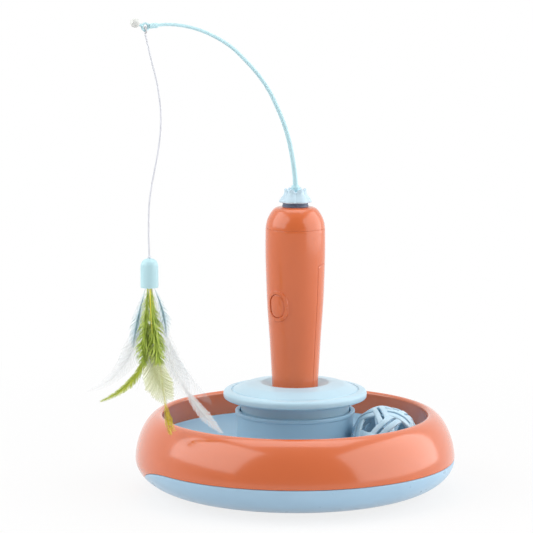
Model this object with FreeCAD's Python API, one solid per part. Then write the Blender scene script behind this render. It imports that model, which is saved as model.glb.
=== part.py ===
import FreeCAD, Part
import math
import os
from FreeCAD import Vector

# Automatic cat teaser: a ball track with a motor handle that swings a feather lure.
# Millimetres, +Z up, origin on the floor under the middle of the track.

os.makedirs("parts", exist_ok=True)

# Dish
foot_height = 3.0
foot_pocket = 0.8
foot_radius = 8.0
outer_foot_count = 4
dish_radius = 120.8
dish_flare = 37.6
underside_height = foot_height - foot_pocket
underside_radius = dish_radius - dish_flare
foot_inset = 13.2
foot_circle = underside_radius - foot_inset
seam_height = 25.7
dish_wall = 2.4
rim_crest_inset = 18.3
rim_crest_radius = dish_radius - rim_crest_inset
rim_crest_height = 59.3
rim_fullness = 1.14
rim_nose_reach = 2.5
rim_lip_radius = rim_crest_radius - rim_nose_reach
rim_lip_height = 57.0
rim_foot_lean = 2.5
rim_foot_radius = rim_crest_radius + rim_foot_lean
seam_tongue_height = 3.0
seam_tongue_thick = 1.2
seam_tongue_inset = 3.0
sweep_half_width = 76.0
sweep_depth = 15.7

# Ball track and drum
track_floor = 16.0
track_wall = 2.2
track_curve_radius = 30.0
track_curve_centre = rim_foot_radius - track_curve_radius
track_curve_centre_height = track_floor + track_curve_radius
track_edge_height = 40.0
ball_radius = 26.0
ball_inset = 4.0
ball_orbit_radius = track_curve_centre - ball_inset
drum_ball_gap = 0.7
drum_radius = ball_orbit_radius - ball_radius - drum_ball_gap
drum_top = 61.5
drum_lip = 1.0
drum_lip_height = 2.6
drum_foot_fillet = 5.0
drum_rib_count = 6
drum_rib_thick = 2.0
drum_rib_reach = 4.2
drum_rib_top = 52.0
boss_inset = 17.0
boss_circle = track_curve_centre - boss_inset
boss_radius = 4.2
boss_foot = 9.0
boss_heading = 45.0
screw_radius = 1.45
screw_length = 8.0
screw_head_radius = 2.9
screw_head_thick = 2.0
screw_clearance = 0.25
thread_clearance = 0.05
well_wall = 2.2

# Cap disc
disc_overhang = 10.0
disc_radius = drum_radius + disc_overhang
disc_edge_height = 73.8
disc_underside = 70.0
disc_edge_roll = 2.8
disc_rim_width = 6.5
disc_groove_radius = disc_radius - disc_rim_width
disc_groove_height = 77.0
disc_groove_depth = 0.8
disc_crown_radius = 27.0
disc_crown_height = 82.4
disc_recess_radius = 24.2
disc_wall = 2.4
neck_gap = 1.3
neck_radius = drum_radius - track_wall - neck_gap
disc_hollow_top = 77.0
socket_mouth_height = 78.6
socket_floor = 57.4
socket_floor_thick = 2.2
socket_gap = 0.35

# Weave of the ball, and the bell inside it
ball_strip_thick = 2.2
ball_weave = 0.8
ball_weave_rise = 9.0
ball_heading = -19.0
ball_rest_gap = 0.3
band_width = 9.8
slot_width = 1.9
slot_angle = 50.0
slot_middle = Vector(-0.01, -0.79, 0.61)
slot_run = Vector(0.73, 0.41, 0.54)
bell_radius = 7.0
bell_wall = 0.8
bell_slot = 1.6
bell_flat = 0.414
bell_gap = 0.4

# Handle: radius of the outside at each height; its foot is straight where it stands in the socket
handle_foot_radius = 17.2
handle_bottom = 57.7
handle_line = (
    (handle_foot_radius, handle_bottom), (handle_foot_radius, 78.6), (19.3, 116.0), (21.3, 143.0),
    (22.35, 173.0), (22.6, 188.0), (22.3, 199.5),
)
handle_floor_thick = 2.4
# Radius of the bore up to each height
handle_bore = ((14.3, 79.0), (15.3, 110.0), (17.1, 130.0), (18.4, 152.6), (19.6, 172.0), (20.4, 199.5))
head_line = ((22.3, 199.5), (21.8, 203.4), (20.5, 207.4), (18.3, 211.4), (16.0, 214.2), (14.0, 215.7))
head_wall = 2.2
head_bore_radius = 18.5
head_bore_top = 204.0
head_crown_bore_radius = 14.0
head_spigot = 4.0
head_spigot_gap = 0.2
head_boss_radius = 5.8
button_heading = -130.0
cover_bottom = 79.0
cover_top = 173.8
cover_gap = 0.15
cover_tab_width = 4.0
cover_tab_length = 2.8
cover_tab_offset = 6.0
cover_tab_thick = 1.2
grip_rib_count = 3
grip_rib_pitch = 4.0
grip_rib_height = 0.5
grip_rib_width = 16.0

# Button and switch
button_height = 142.6
button_width = 13.0
button_length = 17.4
button_gap = 0.25
button_proud = 0.9
button_back = 15.4
button_flange = 1.0
button_flange_thick = 1.2
button_boss = 0.4
bezel_width = 18.3
bezel_length = 23.3
bezel_proud = 1.1
plunger_radius = 1.6
plunger_gap = 0.05
plunger_length = 2.7
switch_size = 6.0
switch_depth = 3.5
switch_floor = 0.5
board_face = 10.4
board_thick = 1.6
board_width = 14.0
board_above_button = 10.0
board_below_button = 20.0
board_top = button_height + board_above_button

# Batteries
cell_radius = 7.1
cell_length = 49.2
cell_nub_radius = 2.7
cell_nub_length = 1.3
cell_spacing = 14.5
cell_gap = 0.25
holder_radius = 15.0
holder_back = -8.0
holder_front = board_face - board_thick
holder_floor_thick = 3.8
holder_top = 138.0
holder_ledge_thick = 2.0
holder_ledge_reach = 1.6
joint_lap = 0.5
contact_thick = 0.4
contact_width = 9.0
contact_thin_width = 6.3

# Motor and gears
gear_module = 0.625
wheel_teeth = 24
pinion_teeth = 8
gear_offset = gear_module * (wheel_teeth + pinion_teeth) / 2
gear_backlash = 0.16
plate_radius = 20.0
plate_bottom = 176.0
plate_thick = 2.0
plate_ledge_reach = 2.6
plate_ledge_thick = 1.8
post_circle = 15.5
post_radius = 2.4
post_headings = (-80.0, 0.0, 80.0)
lid_bottom = 190.6
lid_radius = 18.6
lid_screw_radius = 0.9
lid_screw_length = 7.0
lid_screw_head_radius = 1.9
lid_screw_head_thick = 1.4
wheel_face = 2.6
pinion_face = 4.0
pin_radius = 1.0
pin_gap = 0.05
motor_length = 15.0
motor_width = 12.0
motor_flat = 10.0
motor_shaft_radius = 0.75
motor_boss_radius = 2.0
motor_boss_height = 0.8
motor_cap_length = 1.6
motor_terminal_height = 1.5
gear_stack_gap = 0.4
shaft_radius = 2.0
shaft_top = 226.0
shaft_gap = 0.05
bush_radius = 3.5
bush_length = 9.0
lead_radius = 0.5
lead_spacing = 3.0

# Crown and arm
collar_radius = 9.8
collar_thick = 3.0
collar_gap = 0.3
crown_petals = 6
crown_skirt_radius = 12.2
crown_waist_radius = 8.3
crown_waist_height = 6.6
crown_height = 10.4
crown_petal_width = 8.6
crown_core_radius = 7.2
crown_core_height = 8.6
sleeve_radius = 3.2
sleeve_length = 5.6
arm_heading = 213.0
arm_base_radius = 1.85
arm_tip_radius = 1.1
# Reach and height of the arm's middle line, by hand from its root to its tip
arm_line = (
    (0.0, 227.0), (0.0, 232.5), (0.8, 241.5), (3.0, 254.0), (6.0, 266.0), (10.2, 278.0),
    (16.0, 290.0), (22.8, 302.2), (32.1, 314.3), (44.4, 326.5), (58.6, 337.9), (76.6, 347.0),
    (94.0, 352.2), (110.0, 354.1), (124.6, 353.4),
)
# The eyelet stands just past the arm's end, a little lower
eyelet_reach = arm_line[-1][0] + 4.4
eyelet_height = arm_line[-1][1] - 0.6
eyelet_radius = 3.3
eyelet_hole = 1.8
eyelet_thick = 1.6
eyelet_sleeve_radius = 1.9
eyelet_sleeve_length = 6.0
eyelet_peg_radius = 1.1
eyelet_peg_length = 6.4
knob_slope = 20.0
knob_radius = 3.4
knob_length = 6.4
knob_reach = 8.9
loop_wire = 1.1
loop_inner = 1.15
loop_drop = 4.4

# Lure
cord_radius = 0.7
# The cord's middle line, by hand from the loop to the capsule
cord_route = (
    (-108.2, -70.3, 347.55), (-104.6, -70.8, 331.0), (-99.4, -71.6, 311.5), (-96.6, -72.0, 287.0),
    (-99.4, -71.4, 262.5), (-104.6, -70.8, 239.0), (-107.2, -70.4, 215.5), (-106.3, -70.3, 186.0),
)
capsule_radius = 6.5
capsule_wall = 1.3
capsule_length = 21.2
capsule_dome = 4.2
plug_thick = 5.0
plug_inset = 1.0
quill_radius = 0.6
feather_thick = 0.9
feather_steps = 6

# Feathers from the capsule's mouth: root, pull and tip as x, y, z, then the widest half
# width and how far along the blade it lies
blue_blades = (
    ((-2.4, 3.3, 0.0), (-10.0, 6.0, -22.0), (-13.5, 9.0, -45.0), 4.6, 0.55),
    ((2.4, 3.3, 0.0), (9.0, 6.0, -18.0), (12.0, 8.0, -37.0), 3.6, 0.5),
)
white_blades = (
    ((-3.6, 1.6, 0.0), (-15.0, 3.5, -52.0), (-46.1, 5.0, -78.5), 3.2, 0.5),
    ((2.6, 1.5, 0.0), (16.0, 1.5, -44.0), (44.0, 2.0, -84.0), 8.0, 0.55),
    ((-0.6, 0.7, 0.0), (-4.0, 0.5, -48.0), (-9.5, -1.0, -76.0), 4.0, 0.72),
    ((1.8, -2.1, 0.0), (18.0, -6.2, -60.0), (52.7, -25.7, -102.8), 1.8, 0.7),
)
yellow_blades = (
    ((1.4, -0.5, 0.0), (6.0, -5.2, -55.0), (14.1, -11.0, -106.7), 3.0, 0.86),
)
green_blades = (
    ((-1.6, -0.6, 0.0), (1.0, -1.8, -48.0), (12.7, -4.5, -81.7), 5.2, 0.72),
    ((-1.8, -2.3, 0.0), (-4.0, -4.0, -54.0), (-35.3, -9.0, -83.0), 1.7, 0.4),
    ((0.6, -3.8, 0.0), (1.6, -6.0, -22.0), (1.9, -8.0, -45.0), 9.6, 0.72),
)


def save(name, shape):
    """Write one node and print its size."""
    solids = shape.Solids
    assert solids and all(solid.isValid() and solid.Volume > 0 for solid in solids), name
    shape.exportStep(f"parts/{name}.step")
    print(f"{name}: {len(solids)} solid(s), {shape.Volume:.1f} mm3")


def upright(solid):
    """A solid with its faces outward."""
    if solid.Volume < 0:
        solid.reverse()
    return solid


def at(radius, height):
    """A point of a turned profile."""
    return Vector(radius, 0, height)


def profile(*points):
    """A closed face in the XZ plane through (radius, height) points."""
    corners = [at(*p) for p in points]
    return Part.Face(Part.Wire(Part.makePolygon(corners + corners[:1])))


def bend_points(start, middle, end, count):
    """Points along the arc through three points, its start left out, so that curves stay light."""
    arc = Part.Arc(at(*start), at(*middle), at(*end)).toShape()
    return [(p.x, p.z) for p in arc.discretize(count + 1)[1:]]


def turned(face):
    """A profile turned about the upright axis."""
    return upright(face.revolve(Vector(0, 0, 0), Vector(0, 0, 1), 360))


def tube(outer, inner, low, high, middle=Vector(0, 0, 0)):
    """An upright ring between two heights, or a plain cylinder when inner is 0."""
    ring = Part.makeCylinder(outer, high - low, middle + Vector(0, 0, low))
    if inner > 0:
        ring = ring.cut(Part.makeCylinder(inner, high - low, middle + Vector(0, 0, low)))
    return ring


def box(x, y, z):
    """A box from three (low, high) pairs."""
    return Part.makeBox(x[1] - x[0], y[1] - y[0], z[1] - z[0], Vector(x[0], y[0], z[0]))


def around(count, radius, heading=0.0):
    """Places spaced evenly on a circle about the axis."""
    headings = [math.radians(heading + 360 * i / count) for i in range(count)]
    return [Vector(radius * math.cos(h), radius * math.sin(h), 0) for h in headings]


def polar(heading, radius):
    """One place at a heading in degrees."""
    return Vector(radius * math.cos(math.radians(heading)), radius * math.sin(math.radians(heading)), 0)


def radius_on(line, height):
    """The radius of a (radius, height) line at a height, straight between its points."""
    for (r0, z0), (r1, z1) in zip(line, line[1:]):
        if z0 <= height <= z1:
            return r0 + (r1 - r0) * (height - z0) / (z1 - z0)
    return line[-1][0]


def arc_wire(points):
    """Straight runs joined by tangent arcs as large as the runs allow, and the arcs' radii."""
    spots = [Vector(*p) for p in points]
    edges, radii, here = [], [], spots[0]
    for before, corner, after in zip(spots, spots[1:], spots[2:]):
        back, on = before - corner, after - corner
        reach = 0.45 * min(back.Length, on.Length)
        turn = math.pi - back.getAngle(on)
        radius = reach / math.tan(turn / 2)
        back.normalize()
        on.normalize()
        start, end = corner + back * reach, corner + on * reach
        inward = back + on
        inward.normalize()
        middle = corner + inward * (math.hypot(reach, radius) - radius)
        edges.append(Part.makeLine(here, start))
        edges.append(Part.Arc(start, middle, end).toShape())
        radii.append(radius)
        here = end
    edges.append(Part.makeLine(here, spots[-1]))
    return Part.Wire(edges), radii


def swept(name, points, radius):
    """A round tube along a route of runs and arcs."""
    wire, radii = arc_wire(points)
    way = Vector(*points[1]) - Vector(*points[0])
    ring = Part.Wire(Part.makeCircle(radius, Vector(*points[0]), way))
    pipe = upright(Part.Solid(wire.makePipeShell([ring], True, False).Shells[0]))
    error = pipe.Volume / (math.pi * radius**2 * wire.Length) - 1
    print(f"{name}: {wire.Length:.1f} mm long, volume error {error:.5f}")
    print(f"bend radii {min(radii):.1f} to {max(radii):.1f} mm")
    return pipe


# Dish

def rim_point(angle, inset):
    """A point of the rim's section, inset from its outer face."""
    across = rim_crest_radius + (dish_radius - rim_crest_radius - inset) * math.cos(angle) ** rim_fullness
    up = seam_height + (rim_crest_height - seam_height - inset) * math.sin(angle) ** rim_fullness
    return (across, up)


def bowl_point(angle, inset):
    """A point of the bowl's elliptic section, inset from its outer face."""
    across = underside_radius + (dish_radius - underside_radius - inset) * math.cos(angle)
    down = seam_height - (seam_height - underside_height - inset) * math.sin(angle)
    return (across, down)


def sweep_prism(top):
    """The region on the left where the rim sweeps down over the bowl: two S curves, seen from the side."""
    bend = (sweep_half_width**2 + sweep_depth**2) / (4 * sweep_depth)
    half = math.asin(sweep_half_width / 2 / bend) / 2
    low = seam_height - sweep_depth
    middle = seam_height - sweep_depth / 2
    shoulder_y = sweep_half_width - bend * math.sin(half)
    shoulder_z = seam_height - bend * (1 - math.cos(half))

    def spot(y, z):
        return Vector(-dish_radius - 5, y, z)

    near, far = spot(-sweep_half_width / 2, middle), spot(sweep_half_width / 2, middle)
    edges = [
        Part.Arc(near, spot(0, low), far).toShape(),
        Part.Arc(far, spot(shoulder_y, shoulder_z), spot(sweep_half_width, seam_height)).toShape(),
        Part.Arc(spot(-sweep_half_width, seam_height), spot(-shoulder_y, shoulder_z), near).toShape(),
    ]
    corners = [spot(sweep_half_width, seam_height), spot(-sweep_half_width, seam_height)]
    if top > seam_height:
        corners[1:1] = [spot(sweep_half_width, top), spot(-sweep_half_width, top)]
    edges += [Part.makeLine(a, b) for a, b in zip(corners, corners[1:])]
    face = Part.Face(Part.Wire(Part.__sortEdges__(edges)))
    return face.extrude(Vector(dish_radius / 2, 0, 0))


def bowl_shell():
    """The whole outer bowl with the tongue that locates the rim."""
    outside = [bowl_point(math.radians(a), 0) for a in (90, 72, 54, 36, 18, 0)]
    tongue_outer = dish_radius - seam_tongue_inset
    tongue_inner = tongue_outer - seam_tongue_thick
    tongue_top = seam_height + seam_tongue_height
    inside = [bowl_point(math.radians(a), dish_wall) for a in (42, 90)]
    floor_top = underside_height + dish_wall
    return turned(profile(
        (0, underside_height),
        *outside,
        (tongue_outer, seam_height),
        (tongue_outer - 0.2, tongue_top),
        (tongue_inner, tongue_top),
        (tongue_inner, seam_height - 2 * seam_tongue_thick),
        *inside,
        (0, floor_top),
    ))


def base_tray(bowl):
    """Outer bowl with foot pockets and four screw wells."""
    tray = bowl.cut(sweep_prism(seam_height + seam_tongue_height + 1))
    floor_top = underside_height + dish_wall
    head_seat = boss_foot - well_wall
    for spot in around(4, boss_circle, boss_heading):
        tray = tray.fuse(tube(screw_head_radius + screw_clearance + well_wall, 0, floor_top, boss_foot, spot))
    for spot in around(4, boss_circle, boss_heading):
        tray = tray.cut(tube(screw_head_radius + screw_clearance, 0, underside_height, head_seat, spot))
        tray = tray.cut(tube(screw_radius + screw_clearance, 0, head_seat, boss_foot, spot))
    for spot in foot_places():
        tray = tray.cut(tube(foot_radius + 0.1, 0, underside_height, foot_height, spot))
    return tray


def foot_places():
    """Middles of the pads: a ring of them and one under the handle, whose weight stands there."""
    return around(outer_foot_count, foot_circle) + [Vector(0, 0, 0)]


def rubber_feet():
    """Flat pads glued into the pockets."""
    return Part.makeCompound([tube(foot_radius, 0, 0, foot_height, spot) for spot in foot_places()])


def base_screws():
    """Four screws that pull the track down on the bowl."""
    head_seat = boss_foot - well_wall
    screws = []
    for spot in around(4, boss_circle, boss_heading):
        head = tube(screw_head_radius, 0, head_seat - screw_head_thick, head_seat, spot)
        screws.append(head.fuse(tube(screw_radius, 0, head_seat, head_seat + screw_length, spot)))
    return Part.makeCompound(screws)


def track_ring(bowl):
    """Orange rim: an inverted U in section, with the sweep that covers the bowl on the left."""
    outer = [rim_point(math.radians(a), 0) for a in (0, 18, 38, 57, 74, 90)]
    bend = (rim_crest_radius - rim_lip_radius) * 0.29
    nose = (rim_lip_radius + bend, rim_crest_height - (rim_crest_height - rim_lip_height) * 0.29)
    hidden = [rim_point(math.radians(a), dish_wall) for a in (45, 0)]
    rim = turned(profile(
        *outer,
        nose,
        (rim_lip_radius, rim_lip_height),
        (rim_foot_radius, track_edge_height),
        (rim_foot_radius + dish_wall, track_edge_height),
        (rim_lip_radius + dish_wall + 1.0, rim_crest_height - dish_wall),
        *hidden,
    ))
    return rim.fuse(bowl.common(sweep_prism(seam_height))).removeSplitter()


def track_trough():
    """Ball track with the drum in its middle, ribs that carry the cap disc, and screw bosses."""
    under = track_floor - track_wall
    drop = track_curve_centre_height - track_edge_height
    inner_reach = track_curve_centre + math.sqrt(track_curve_radius**2 - drop**2)
    outer_radius = track_curve_radius + track_wall
    outer_reach = track_curve_centre + math.sqrt(outer_radius**2 - drop**2)

    def curve_spot(radius, degrees):
        a = math.radians(degrees)
        return (track_curve_centre + radius * math.sin(a), track_curve_centre_height - radius * math.cos(a))

    def corner_below(low, high):
        """Where the tangents at two angles under the curve meet."""
        half = math.radians(high - low) / 2
        return curve_spot(outer_radius / math.cos(half), (low + high) / 2)

    fillet = drum_foot_fillet
    bite = fillet * (1 - math.sin(math.pi / 4))
    corner = (drum_radius + bite, track_floor + bite)
    drum_inner = drum_radius - track_wall
    trough = turned(profile(
        (0, under),
        corner_below(0, 44),
        corner_below(44, 78),
        (outer_reach, track_edge_height),
        (inner_reach, track_edge_height),
        *[curve_spot(track_curve_radius, a) for a in (60, 40, 20)],
        (track_curve_centre, track_floor),
        (drum_radius + fillet, track_floor),
        corner,
        (drum_radius, track_floor + fillet),
        (drum_radius, drum_top - drum_lip_height - drum_lip),
        (drum_radius + drum_lip, drum_top - drum_lip_height),
        (drum_radius + drum_lip, drum_top - 0.5),
        (drum_radius + drum_lip - 0.5, drum_top),
        (drum_inner, drum_top),
        (drum_inner, track_floor),
        (0, track_floor),
    ))
    rib_reach = (drum_inner - drum_rib_reach, drum_inner + track_wall / 4)
    rib = box(rib_reach, (-drum_rib_thick / 2, drum_rib_thick / 2), (track_floor, drum_rib_top))
    for i in range(drum_rib_count):
        turn = rib.copy()
        turn.rotate(Vector(0, 0, 0), Vector(0, 0, 1), 360 / drum_rib_count * (i + 0.5))
        trough = trough.fuse(turn)
    for spot in around(4, boss_circle, boss_heading):
        trough = trough.fuse(tube(boss_radius, 0, boss_foot, under, spot))
    screw_tip = boss_foot - well_wall + screw_length
    for spot in around(4, boss_circle, boss_heading):
        trough = trough.cut(tube(screw_radius + thread_clearance, 0, boss_foot, screw_tip + 0.4, spot))
    return trough


def top_disc():
    """Round cap: neck that drops in the drum, rolled edge, grooved top and the handle's socket."""
    socket = handle_foot_radius + socket_gap
    groove = disc_groove_radius
    neck_inner = neck_radius - disc_wall
    under_edge = disc_radius - disc_edge_roll
    crown = (disc_crown_radius, disc_crown_height)
    groove_edge = (groove + 0.6, disc_groove_height - 0.1)
    crown_middle = ((disc_crown_radius + groove) / 2 + 0.9, disc_groove_height + 4.2)
    edge = (disc_radius, disc_edge_height)
    return turned(profile(
        (0, socket_floor),
        (socket, socket_floor),
        (socket, socket_mouth_height),
        (disc_recess_radius, disc_crown_height - 0.6),
        (disc_recess_radius + 1.2, disc_crown_height),
        crown,
        *bend_points(crown, crown_middle, (groove - 0.6, disc_groove_height + 0.3), 2),
        (groove, disc_groove_height - disc_groove_depth),
        groove_edge,
        *bend_points(groove_edge, (disc_radius - 1.2, disc_edge_height + 2.0), edge, 3),
        *bend_points(edge, (disc_radius - 0.8, disc_edge_height - 2.7), (under_edge, disc_underside), 2),
        (neck_radius, disc_underside),
        (neck_radius, drum_rib_top),
        (neck_inner, drum_rib_top),
        (neck_inner, disc_hollow_top),
        (socket + disc_wall, disc_hollow_top),
        (socket + disc_wall, socket_floor - socket_floor_thick),
        (0, socket_floor - socket_floor_thick),
    ))


# Ball

def band_axes():
    """The six axes of the woven ball, each square to one closed band."""
    golden = (1 + math.sqrt(5)) / 2
    axes = []
    for sign in (1, -1):
        axes += [Vector(0, 1, sign * golden), Vector(1, sign * golden, 0), Vector(sign * golden, 0, 1)]
    for axis in axes:
        axis.normalize()
    return axes


def lattice_ball(middle):
    """Six flat double bands, each passing over and under the others in turn."""
    rise = math.radians(ball_weave_rise)
    high = math.sqrt(ball_radius**2 - (band_width / 2) ** 2)
    low = high - ball_weave
    axes = band_axes()
    bands, slots = [], []
    for axis in axes:
        over = [axis.cross(other) * math.copysign(1, axis.dot(other)) for other in axes if other is not axis]
        first = over[0]
        first.normalize()
        side = axis.cross(first)

        def spot(angle, radius):
            across = first * (radius * math.cos(angle)) + side * (radius * math.sin(angle))
            return across - axis * (band_width / 2)

        outer, inner = [], []
        for crossing in range(10):
            radius = low if crossing % 2 else high
            for edge in (-rise, rise):
                angle = math.radians(36 * crossing) + edge
                outer.append(spot(angle, radius))
                inner.append(spot(angle, radius - ball_strip_thick))
        ring = Part.Face(Part.Wire(Part.makePolygon(outer + outer[:1])))
        ring = ring.cut(Part.Face(Part.Wire(Part.makePolygon(inner + inner[:1]))))
        band = ring.extrude(axis * band_width)
        for crossing in range(0, 10, 2):
            turn = math.radians(36 * crossing)
            half = math.radians(slot_angle / 2)
            far = ball_radius + 4
            corners = [spot(turn, 0), spot(turn - half, far), spot(turn + half, far), spot(turn, 0)]
            wedge = Part.Face(Part.Wire(Part.makePolygon(corners))).extrude(axis * slot_width)
            wedge.translate(axis * ((band_width - slot_width) / 2))
            slots.append(wedge)
        bands.append(band)
    ball = bands[0].multiFuse(bands[1:]).cut(slots).removeSplitter()
    # Turn the ball so that one slot faces the front as it does in use
    run = Vector(slot_run) - slot_middle * (slot_run.dot(slot_middle) / slot_middle.dot(slot_middle))
    first = axes[0].cross(axes[1]) * math.copysign(1, axes[0].dot(axes[1]))
    ball.transformShape(frame_turn(first, axes[0].cross(first), slot_middle, run))
    ball.translate(middle)
    return ball


def frame_turn(from_x, from_y, to_x, to_y):
    """The turn that carries one pair of square directions onto another."""
    def frame(x, y):
        a, b = Vector(x), Vector(y)
        a.normalize()
        b.normalize()
        c = a.cross(b)
        return FreeCAD.Matrix(a.x, b.x, c.x, 0, a.y, b.y, c.y, 0, a.z, b.z, c.z, 0, 0, 0, 0, 1)
    return frame(to_x, to_y).multiply(frame(from_x, from_y).inverse())


def bell(middle):
    """A small sheet bell with a slot, resting on the lowest strips of the ball."""
    radius, flat = bell_radius, bell_radius * bell_flat
    bore, reach = bell_radius - 2 * bell_wall, bell_radius - 4 * bell_wall
    shell = turned(profile(
        (0, -radius), (flat, -radius), (radius, -flat), (radius, flat), (flat, radius), (0, radius),
        (0, reach), (bore, reach), (bore, -reach), (0, -reach),
    ))
    slot = box(
        (-bell_radius, bell_radius), (-bell_slot / 2, bell_slot / 2), (-bell_radius - 1, -bell_radius / 2)
    )
    shell = shell.cut(slot)
    shell.translate(middle)
    return shell


# Handle, drawn with the button at +X and turned to its heading at the end

def handle_turned(parts):
    """Turn handle pieces so that the button points to its heading."""
    parts.rotate(Vector(0, 0, 0), Vector(0, 0, 1), button_heading)
    return parts


def handle_solid(proud):
    """The whole handle up to the head, grown by a little where something stands proud of it."""
    line = [(r + proud, z) for r, z in handle_line]
    return turned(profile((0, handle_bottom), *line, (0, line[-1][1])))


def handle_hollow():
    """The bore, wider in steps towards the top."""
    low = handle_bottom + handle_floor_thick
    steps = []
    for radius, top in handle_bore:
        steps += [(radius, low), (radius, top)]
        low = top
    return turned(profile((0, steps[0][1]), *steps, (0, low)))


def bore_at(height):
    """The bore's radius at a height, the lower step's where two meet."""
    return next(radius for radius, top in handle_bore if height <= top)


def stadium(width, length, low_x, high_x):
    """A round-ended prism along X at the button."""
    half, straight = width / 2, (length - width) / 2
    c = Vector(low_x, 0, button_height)
    up, side = Vector(0, 0, 1), Vector(0, 1, 0)
    right, left = side * half, side * -half
    high, low = c + up * straight, c - up * straight
    edges = [
        Part.Arc(high + right, high + up * half, high + left).toShape(),
        Part.makeLine(high + left, low + left),
        Part.Arc(low + left, low - up * half, low + right).toShape(),
        Part.makeLine(low + right, high + right),
    ]
    return Part.Face(Part.Wire(edges)).extrude(Vector(high_x - low_x, 0, 0))


def handle_shell():
    """Outer wall of the handle, closed at the bottom."""
    return handle_solid(0).cut(handle_hollow())


def cover_region(gap):
    """The half that the battery cover fills, less a gap at its edges; its top is an arc about the hinge."""
    reach = 2 * handle_line[-1][0]
    hinge = Vector(-radius_on(handle_line, cover_bottom), -reach, cover_bottom)
    swing = Part.makeCylinder(cover_top - cover_bottom - gap, 2 * reach, hinge, Vector(0, 1, 0))
    return box((-reach, -gap), (-reach, reach), (cover_bottom + gap, cover_top)).common(swing)


def handle_body(shell):
    """Button half of the handle with its full rings above and below the cover."""
    body = shell.cut(cover_region(0))
    reach = 2 * holder_radius
    raised = handle_solid(bezel_proud).common(stadium(bezel_width, bezel_length, board_face, reach))
    body = body.fuse(raised.cut(handle_hollow()))
    body = body.cut(stadium(button_width + 2 * button_gap, button_length + 2 * button_gap, board_face, reach))
    low_wall, high_wall = bore_at(cover_bottom), bore_at(plate_bottom)
    ledge_bottom = cover_bottom - holder_ledge_thick
    ledge = tube(low_wall + joint_lap, low_wall - holder_ledge_reach, ledge_bottom, cover_bottom)
    ledge = ledge.cut(box((-reach, holder_back - 1), (-holder_radius, holder_radius), (0, cover_bottom)))
    plate_ledge = tube(
        high_wall + joint_lap, high_wall - plate_ledge_reach, plate_bottom - plate_ledge_thick, plate_bottom
    )
    return body.fuse(ledge).fuse(plate_ledge)


def battery_cover(shell):
    """Half shell with two hook tabs at its foot and grip ribs near its top."""
    cover = shell.common(cover_region(cover_gap))
    edge = cover_tab_offset + cover_tab_width / 2
    face_x = -math.sqrt(bore_at(cover_bottom) ** 2 - edge**2) + cover_gap
    joint_top = cover_bottom + cover_tab_thick
    wall_x = -math.sqrt((bore_at(joint_top) + joint_lap) ** 2 - edge**2)
    for side in (-cover_tab_offset, cover_tab_offset):
        span = (side - cover_tab_width / 2, side + cover_tab_width / 2)
        tab = box((face_x, face_x + cover_tab_thick), span, (cover_bottom - cover_tab_length, joint_top))
        root = box((wall_x, face_x + cover_tab_thick), span, (cover_bottom + cover_gap, joint_top))
        cover = cover.fuse(tab).fuse(root)
    proud = handle_solid(grip_rib_height).cut(handle_solid(-joint_lap))
    for i in range(grip_rib_count):
        low = cover_top - (i + 2) * grip_rib_pitch
        high = low + grip_rib_pitch / 3
        band = box((-2 * holder_radius, 0), (-grip_rib_width / 2, grip_rib_width / 2), (low, high))
        cover = cover.fuse(proud.common(band))
    return cover


def power_button():
    """Round-ended button with a flange behind the wall and a boss on the plunger."""
    hole = stadium(button_width, button_length, button_back, 2 * holder_radius)
    cap = handle_solid(button_proud).common(hole)
    flange_front = button_back + button_flange_thick
    flange_width, flange_length = button_width + 2 * button_flange, button_length + 2 * button_flange
    flange = stadium(flange_width, flange_length, button_back, flange_front)
    boss = Part.makeCylinder(
        plunger_radius, button_boss, Vector(button_back - button_boss, 0, button_height), Vector(1, 0, 0)
    )
    return cap.fuse(flange).fuse(boss)


def switch_plunger():
    """Stem between the button's boss and the switch."""
    start = button_back - button_boss - plunger_length
    return Part.makeCylinder(plunger_radius, plunger_length, Vector(start, 0, button_height), Vector(1, 0, 0))


def tact_switch():
    """Switch box with the hole that guides the plunger."""
    half = switch_size / 2
    body = box(
        (board_face, board_face + switch_depth), (-half, half), (button_height - half, button_height + half)
    )
    floor = Vector(board_face + switch_floor, 0, button_height)
    hole = Part.makeCylinder(plunger_radius + plunger_gap, switch_depth, floor, Vector(1, 0, 0))
    return body.cut(hole)


def switch_board():
    """Circuit board fixed upright to the front of the battery holder."""
    low = button_height - board_below_button
    return box((board_face - board_thick, board_face), (-board_width / 2, board_width / 2), (low, board_top))


cell_bottom = cover_bottom + holder_floor_thick + contact_thick
cell_top = cell_bottom + cell_length + cell_nub_length


def cell_places():
    """Middle of each battery cell."""
    return [Vector(0, side * cell_spacing / 2, 0) for side in (-1, 1)]


def battery_holder():
    """Cradle open to the cover, with an end wall at each end."""
    holder = tube(holder_radius, 0, cover_bottom, holder_top)
    keep = box((holder_back, holder_front), (-holder_radius, holder_radius), (cover_bottom, holder_top))
    holder = holder.common(keep)
    bay_low, bay_top = cover_bottom + holder_floor_thick, cell_top + contact_thick
    for spot in cell_places():
        holder = holder.cut(tube(cell_radius + cell_gap, 0, bay_low, bay_top, spot))
    plate_seat = box(
        (0, contact_width / 2), (-cell_spacing / 2, cell_spacing / 2), (bay_low, bay_low + contact_thick)
    )
    holder = holder.cut(plate_seat)
    return holder.cut(box((holder_back, 0), (-holder_radius, holder_radius), (bay_low, bay_top)))


def battery_cells():
    """Two cells side by side, one turned over."""
    cells = []
    for spot, low in zip(cell_places(), (cell_bottom, cell_bottom + cell_nub_length)):
        nub_low = cell_bottom if low > cell_bottom else cell_bottom + cell_length
        body = tube(cell_radius, 0, low, low + cell_length, spot)
        cells.append(body.fuse(tube(cell_nub_radius, 0, nub_low, nub_low + cell_nub_length, spot)))
    return Part.makeCompound(cells)


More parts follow.
